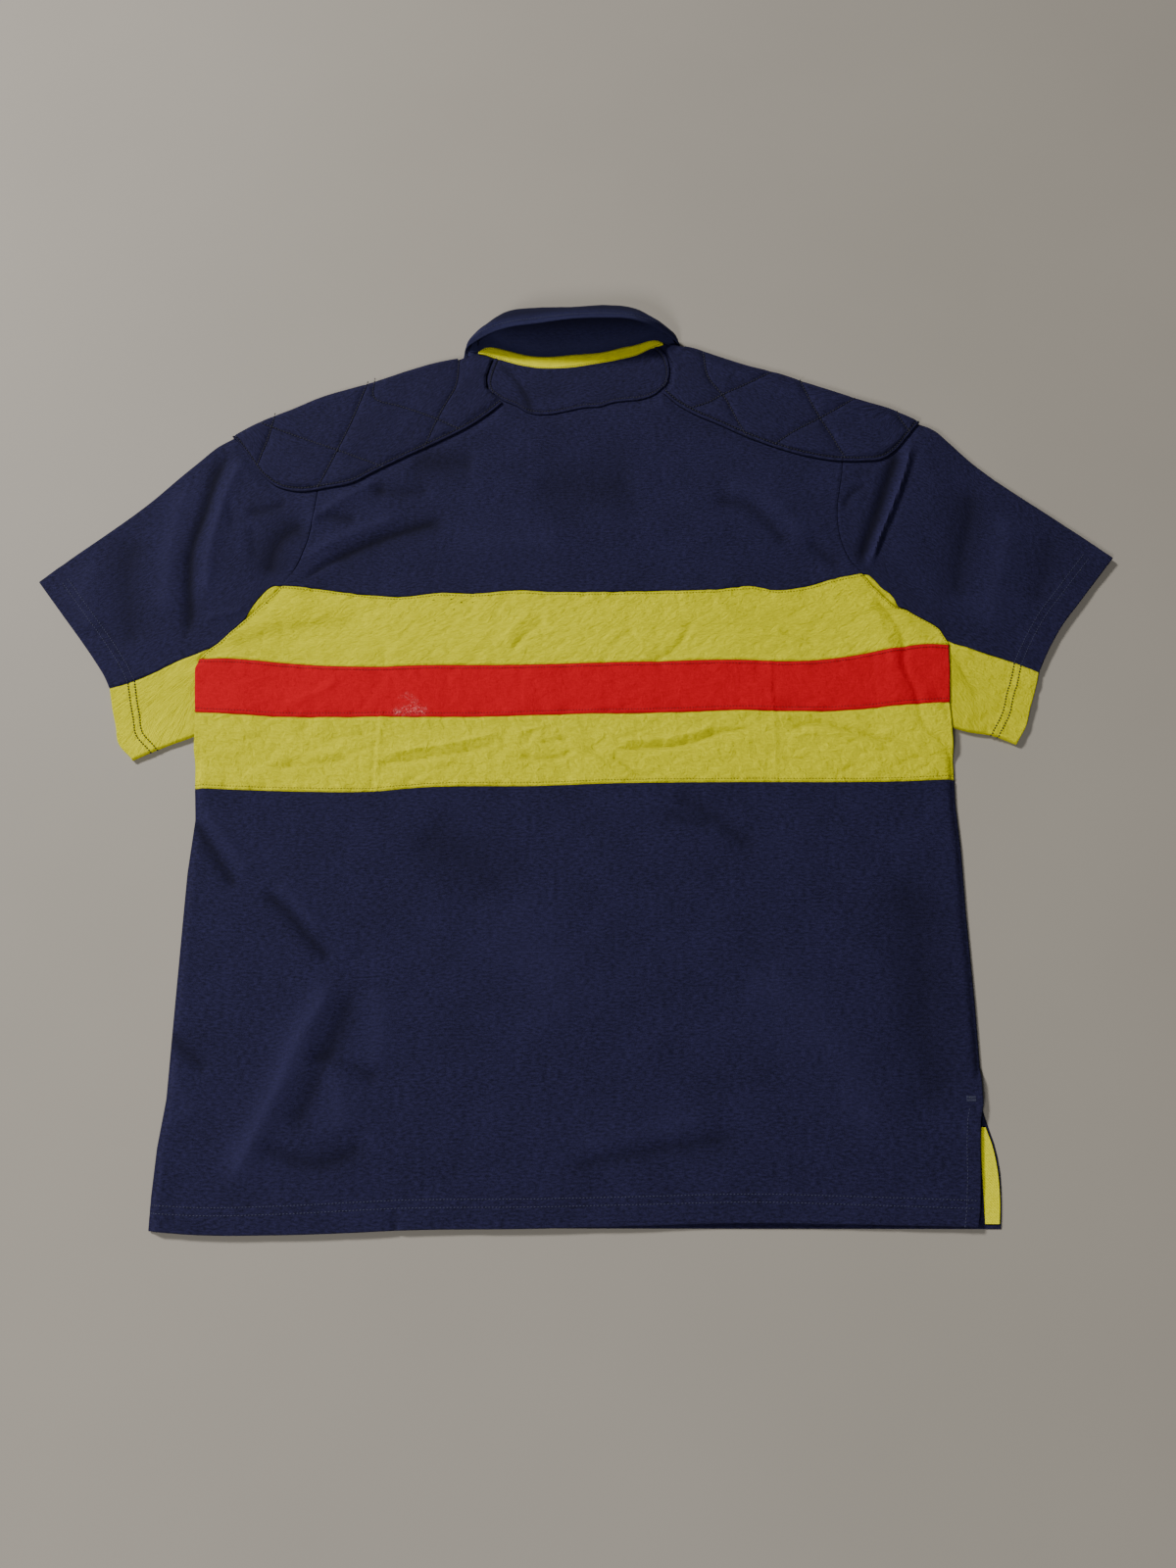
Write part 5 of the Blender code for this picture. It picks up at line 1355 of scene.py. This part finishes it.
def build_neck():
    """Neck patch, and the tape that covers the neck seam and the patch's upper edge."""
    def on_back(x, y):
        return back_under(x, y) + CLOTH + LAID_ON
    meeting = [(x, y + 1.0) for x, y in TAPE_LOW if -82 < x < 91]
    flat_piece("neck_patch", jersey, graded(190, 2.2), graded(60, 2.2),
               patch(along(PATCH_LOW), along(meeting), along(PATCH_LEFT), along(PATCH_RIGHT)),
               on_back, ("neck_patch",), extra=patch_detail)
    flat_piece("neck_tape", yellow_tape, graded(200, 1.5), np.linspace(0, 1, 15),
               patch(across(TAPE_LOW), across(TAPE_HIGH), along((TAPE_LOW[0], TAPE_HIGH[0])),
                     along((TAPE_LOW[-1], TAPE_HIGH[-1]))), lambda x, y: on_back(x, y) + 0.2,
               ("neck_tape",), TAPE, extra=tape_detail)


def build_collar():
    """Stand and leaf as one cloth that rises from the neck seam and turns over."""
    us = np.linspace(0, 1, 265)
    base, top, roll, far, edge = (by_rows(column)(us) for column in range(5))
    raised = np.clip((base[:, 2] - 4.5) / 3, 0, 1)
    tape_x, tape_y = np.array(TAPE_HIGH, float).T
    sewn_in = base - np.stack((0 * raised, raised * np.clip(
        base[:, 1] - np.interp(base[:, 0], tape_x, tape_y) - 0.6, 0, 9), 1.2 * raised), axis=1)
    away_up = np.clip((edge[:, 2:] - 12) / 25, 0, 1)
    roll, far = roll - away_up * (0, 1.6, 0), far - away_up * (0, 1.6, 0)
    edge = edge - away_up * (0, 4.0, 0)
    shares = np.array((SEWN_IN, 0.0, TURN_STARTS, 0.42, TURN_ENDS, 1.0))
    sections = np.stack((sewn_in, base, top, roll, far, edge), axis=1)
    vs = np.concatenate((np.linspace(SEWN_IN, TURN_STARTS, 16)[:-1],
                         np.linspace(TURN_STARTS, TURN_ENDS, 10)[:-1],
                         np.linspace(TURN_ENDS, 0.97, 18), (0.98, 0.99, 1.0)))
    middle = np.array([hermite(shares, section, vs) for section in sections])
    normals = square(middle)
    away = from_edges(middle)
    swell = (0.25 * lumps(middle[..., 0], middle[..., 1] + middle[..., 2], 16, 12, 91)
             + 0.14 * lumps(middle[..., 0], middle[..., 1] + middle[..., 2], 7, 6, 92))
    swell = swell * ramp(away["high"], 5)
    row = groove(away["high"], COLLAR_ROW, 0.9, 0.35)
    half = LEAF / 2 * np.sqrt(np.clip(away["high"] / 1.2, 0.05, 1))
    faces = [middle + normals * (side * (half + row) + swell)[..., None] for side in (1, -1)]
    for face in faces:
        face[..., 2] = np.maximum(face[..., 2], THINNEST)
    surfaces["collar"], surfaces["collar_inner"] = faces
    outward["collar"], outward["collar_inner"] = normals, -normals
    # Painted tone: lighter along the free edge (fading and painted highlight), lighter at the
    # stand's foot (painted light), dark under the leaf (painted shadow)
    painted_tone = 0.9 * np.exp(-((away["high"] - 1.0) / 2.2) ** 2)
    painted_tone = painted_tone - ramp(vs - 0.16, 0.14)[None] * ramp(away["high"] - COLLAR_ROW, 8)
    painted_tone = painted_tone + 0.9 * (1 - ramp(vs - 0.08, 0.10))[None]
    lay("collar", faces[0], faces[1], collar_twill, ("collar_stand", "collar_leaf"), painted_tone)


def build_vent():
    """Tape on the inside of the front's edge where the right side vent stands open."""
    left = ((344.5, -457), (345.5, -430), (346.5, -400), (348, -381))
    right = ((356, -457), (358, -440), (358.5, -415), (356, -395), (352, -381))
    flat_piece("vent_tape", yellow_tape, graded(12, 1.2, (False, False)), graded(78, 1.5),
               patch(along((left[0], right[0])), along((left[-1], right[-1])), along(left),
                     along(right)),
               lambda x, y: front_under(x, y) + CLOTH + SEAM, ("vent_tape",), VENT_TAPE)


build_back()
build_front()
build_placket()
for number, y in enumerate(BUTTON_ROWS_Y, 1):
    build_button(number, y)
build_sleeves()
build_pads()
build_neck()
build_collar()
build_vent()


# ---------------------------------------------------------------- rows of stitches

def sew_back():
    """Hem, vent and the rows beside the bands' seams."""
    hem_rows = [line_in("back_lower", "low", np.array(HEM_ROWS) - inset, 0.004, 0.982)
                for inset in (0, COVER)]
    stitched("hem_stitches", light_thread, hem_rows, tilt=0.12)
    vent = line_in("back_lower", "right", VENT_HEM, 0.0, 0.27)
    stitched("vent_stitches", light_thread, (vent,))
    for band, thread in (("low", yellow_thread_painted_shade), ("middle", red_thread_painted_shade)):
        name = "back_band_" + band
        stitched(f"band_{band}_stitches", thread,
                 [line_in(name, side, inset) for side, inset in TOPSTITCHING[name]])
    high_row = TOPSTITCHING["back_band_high"][0][1]
    stitched("band_high_stitches", yellow_thread_painted_shade,
             [line_in("back_band_high", side, high_row) for side in ("high", "left", "right")])


def sew_cuff(side):
    """Two rows round a sleeve's end, dark on the yellow cloth."""
    for piece, label, thread, width in (
            ("sleeve_", "cuff_stitches_", light_thread, THREAD),
            ("sleeve_under_", "cuff_stitches_yellow_", dark_thread, 1.5)):
        stitched(label + side, thread,
                 [line_in(piece + side, "right", inset, rows=TOP_ROWS[piece])
                  for inset in (CUFF_HEM, CUFF_HEM - COVER)], width=width)


def sew_pad(side, sign):
    """The row round a pad's edge and its rows of quilting."""
    puff = quilted(sign)
    rows = [line_in("shoulder_pad_" + side, "low", PAD_LINE, rows=TOP_ROWS["shoulder_pad_"])]
    rows += [on_height(points, lambda x, y: pad_top(x, y) + puff(x, y))
             for points in QUILTING[sign]]
    stitched("quilting_" + side, navy_thread, rows, pitch=3.2, width=1.15, share=0.78,
             sunk=-0.3)


def sew_neck():
    """Neck patch, tape and both faces of the collar."""
    stitched("patch_stitches", navy_thread,
             [line_in("neck_patch", side, PAD_LINE) for side in ("low", "left", "right")],
             width=1.1)
    stitched("tape_stitches", yellow_thread_painted_shade,
             [line_in("neck_tape", side, TAPE_ROW) for side in ("low", "high")], pitch=2.4)
    stitched("collar_stitches", light_thread,
             [line_in(face, "high", COLLAR_ROW) for face in ("collar", "collar_inner")])


def sew_marks():
    """Ends of thread left in the upper band, and the bar tack above the vent."""
    ends = [on_height(((x - 1, y), (x + 1, y + 0.6)),
                      lambda a, b: back_under(a, b, 1.0) + CLOTH, 6) for x, y in THREAD_ENDS]
    stitched("thread_ends", dark_thread, ends, pitch=1.0, width=1.0)
    tack = [on_height(((338 + k, -355.5), (338 + k, -360.5)),
                      lambda a, b: back_under(a, b) + CLOTH, 6) for k in np.linspace(0, 7, 9)]
    stitched("bar_tack", light_thread, tack, pitch=2.5, share=1.1)


sew_back()
for side, sign in SIDES:
    sew_cuff(side)
    sew_pad(side, sign)
sew_neck()
sew_marks()


# ---------------------------------------------------------------- floor, light, camera

FLOOR_Z = -0.0002      # just under the cloth


def make_floor():
    """A plain pale floor."""
    bpy.ops.mesh.primitive_grid_add(x_subdivisions=2, y_subdivisions=2, size=9.0,
                                    location=(0, 0, FLOOR_Z))
    floor = bpy.context.object
    floor.name = "floor"
    bpy.ops.object.transform_apply(location=True, rotation=True, scale=True)
    material, tree, shader = new_finish("pale_floor")
    cloudy = add(tree, "ShaderNodeTexNoise", {
        "Vector": add(tree, "ShaderNodeTexCoord").outputs["Object"], "Scale": 3.0,
        "Detail": 4.0})
    tone = mixed(tree, cloudy.outputs[0], (0.275, 0.252, 0.218, 1), (0.315, 0.290, 0.250, 1))
    feed(tree, shader, {"Base Color": tone, "Roughness": 0.7})
    floor.data.materials.append(material)
    floor.select_set(False)


def area_light(name, place, aim, size, watts):
    data = bpy.data.lights.new(name, "AREA")
    data.shape, data.size, data.size_y = "RECTANGLE", size[0], size[1]
    data.energy, data.color = watts, (1.0, 0.98, 0.95)
    light = bpy.data.objects.new(name, data)
    bpy.context.scene.collection.objects.link(light)
    light.location = place
    light.rotation_euler = (Vector(aim) - Vector(place)).to_track_quat("-Z", "Y").to_euler()


def make_light():
    """A window at the upper left, a weaker light behind the viewer and a little fill."""
    world = bpy.data.worlds.new("room")
    bpy.context.scene.world = world
    world.use_nodes = True
    feed(world.node_tree, world.node_tree.nodes["Background"],
         {"Color": (0.93, 0.96, 1.0, 1), "Strength": 0.10})
    area_light("window", (-2.9, 2.3, 3.1), (0, 0, 0), (0.9, 0.7), 288)
    area_light("ceiling", (-1.3, -2.8, 2.7), (0, 0.2, 0), (0.9, 0.9), 86)


def make_camera():
    """The photograph was taken from above the hem, with the camera a little turned."""
    data = bpy.data.cameras.new("camera")
    data.lens, data.sensor_width = 27.0, 36.0
    data.clip_start, data.clip_end = 0.01, 50
    camera = bpy.data.objects.new("camera", data)
    bpy.context.scene.collection.objects.link(camera)
    yaw, pitch, roll = (Matrix.Rotation(radians(degrees), 4, axis) for degrees, axis in
                        ((4.936, "Z"), (17.896, "X"), (-4.973, "Z")))
    camera.matrix_world = Matrix.Translation((0.0465, -0.38982, 1.03733)) @ (yaw @ pitch @ roll)
    bpy.context.scene.camera = camera


make_floor()
make_light()
make_camera()

for name, (width, length, area) in measures.items():
    print("measure", name, round(width, 3), round(length, 3), round(area, 4))
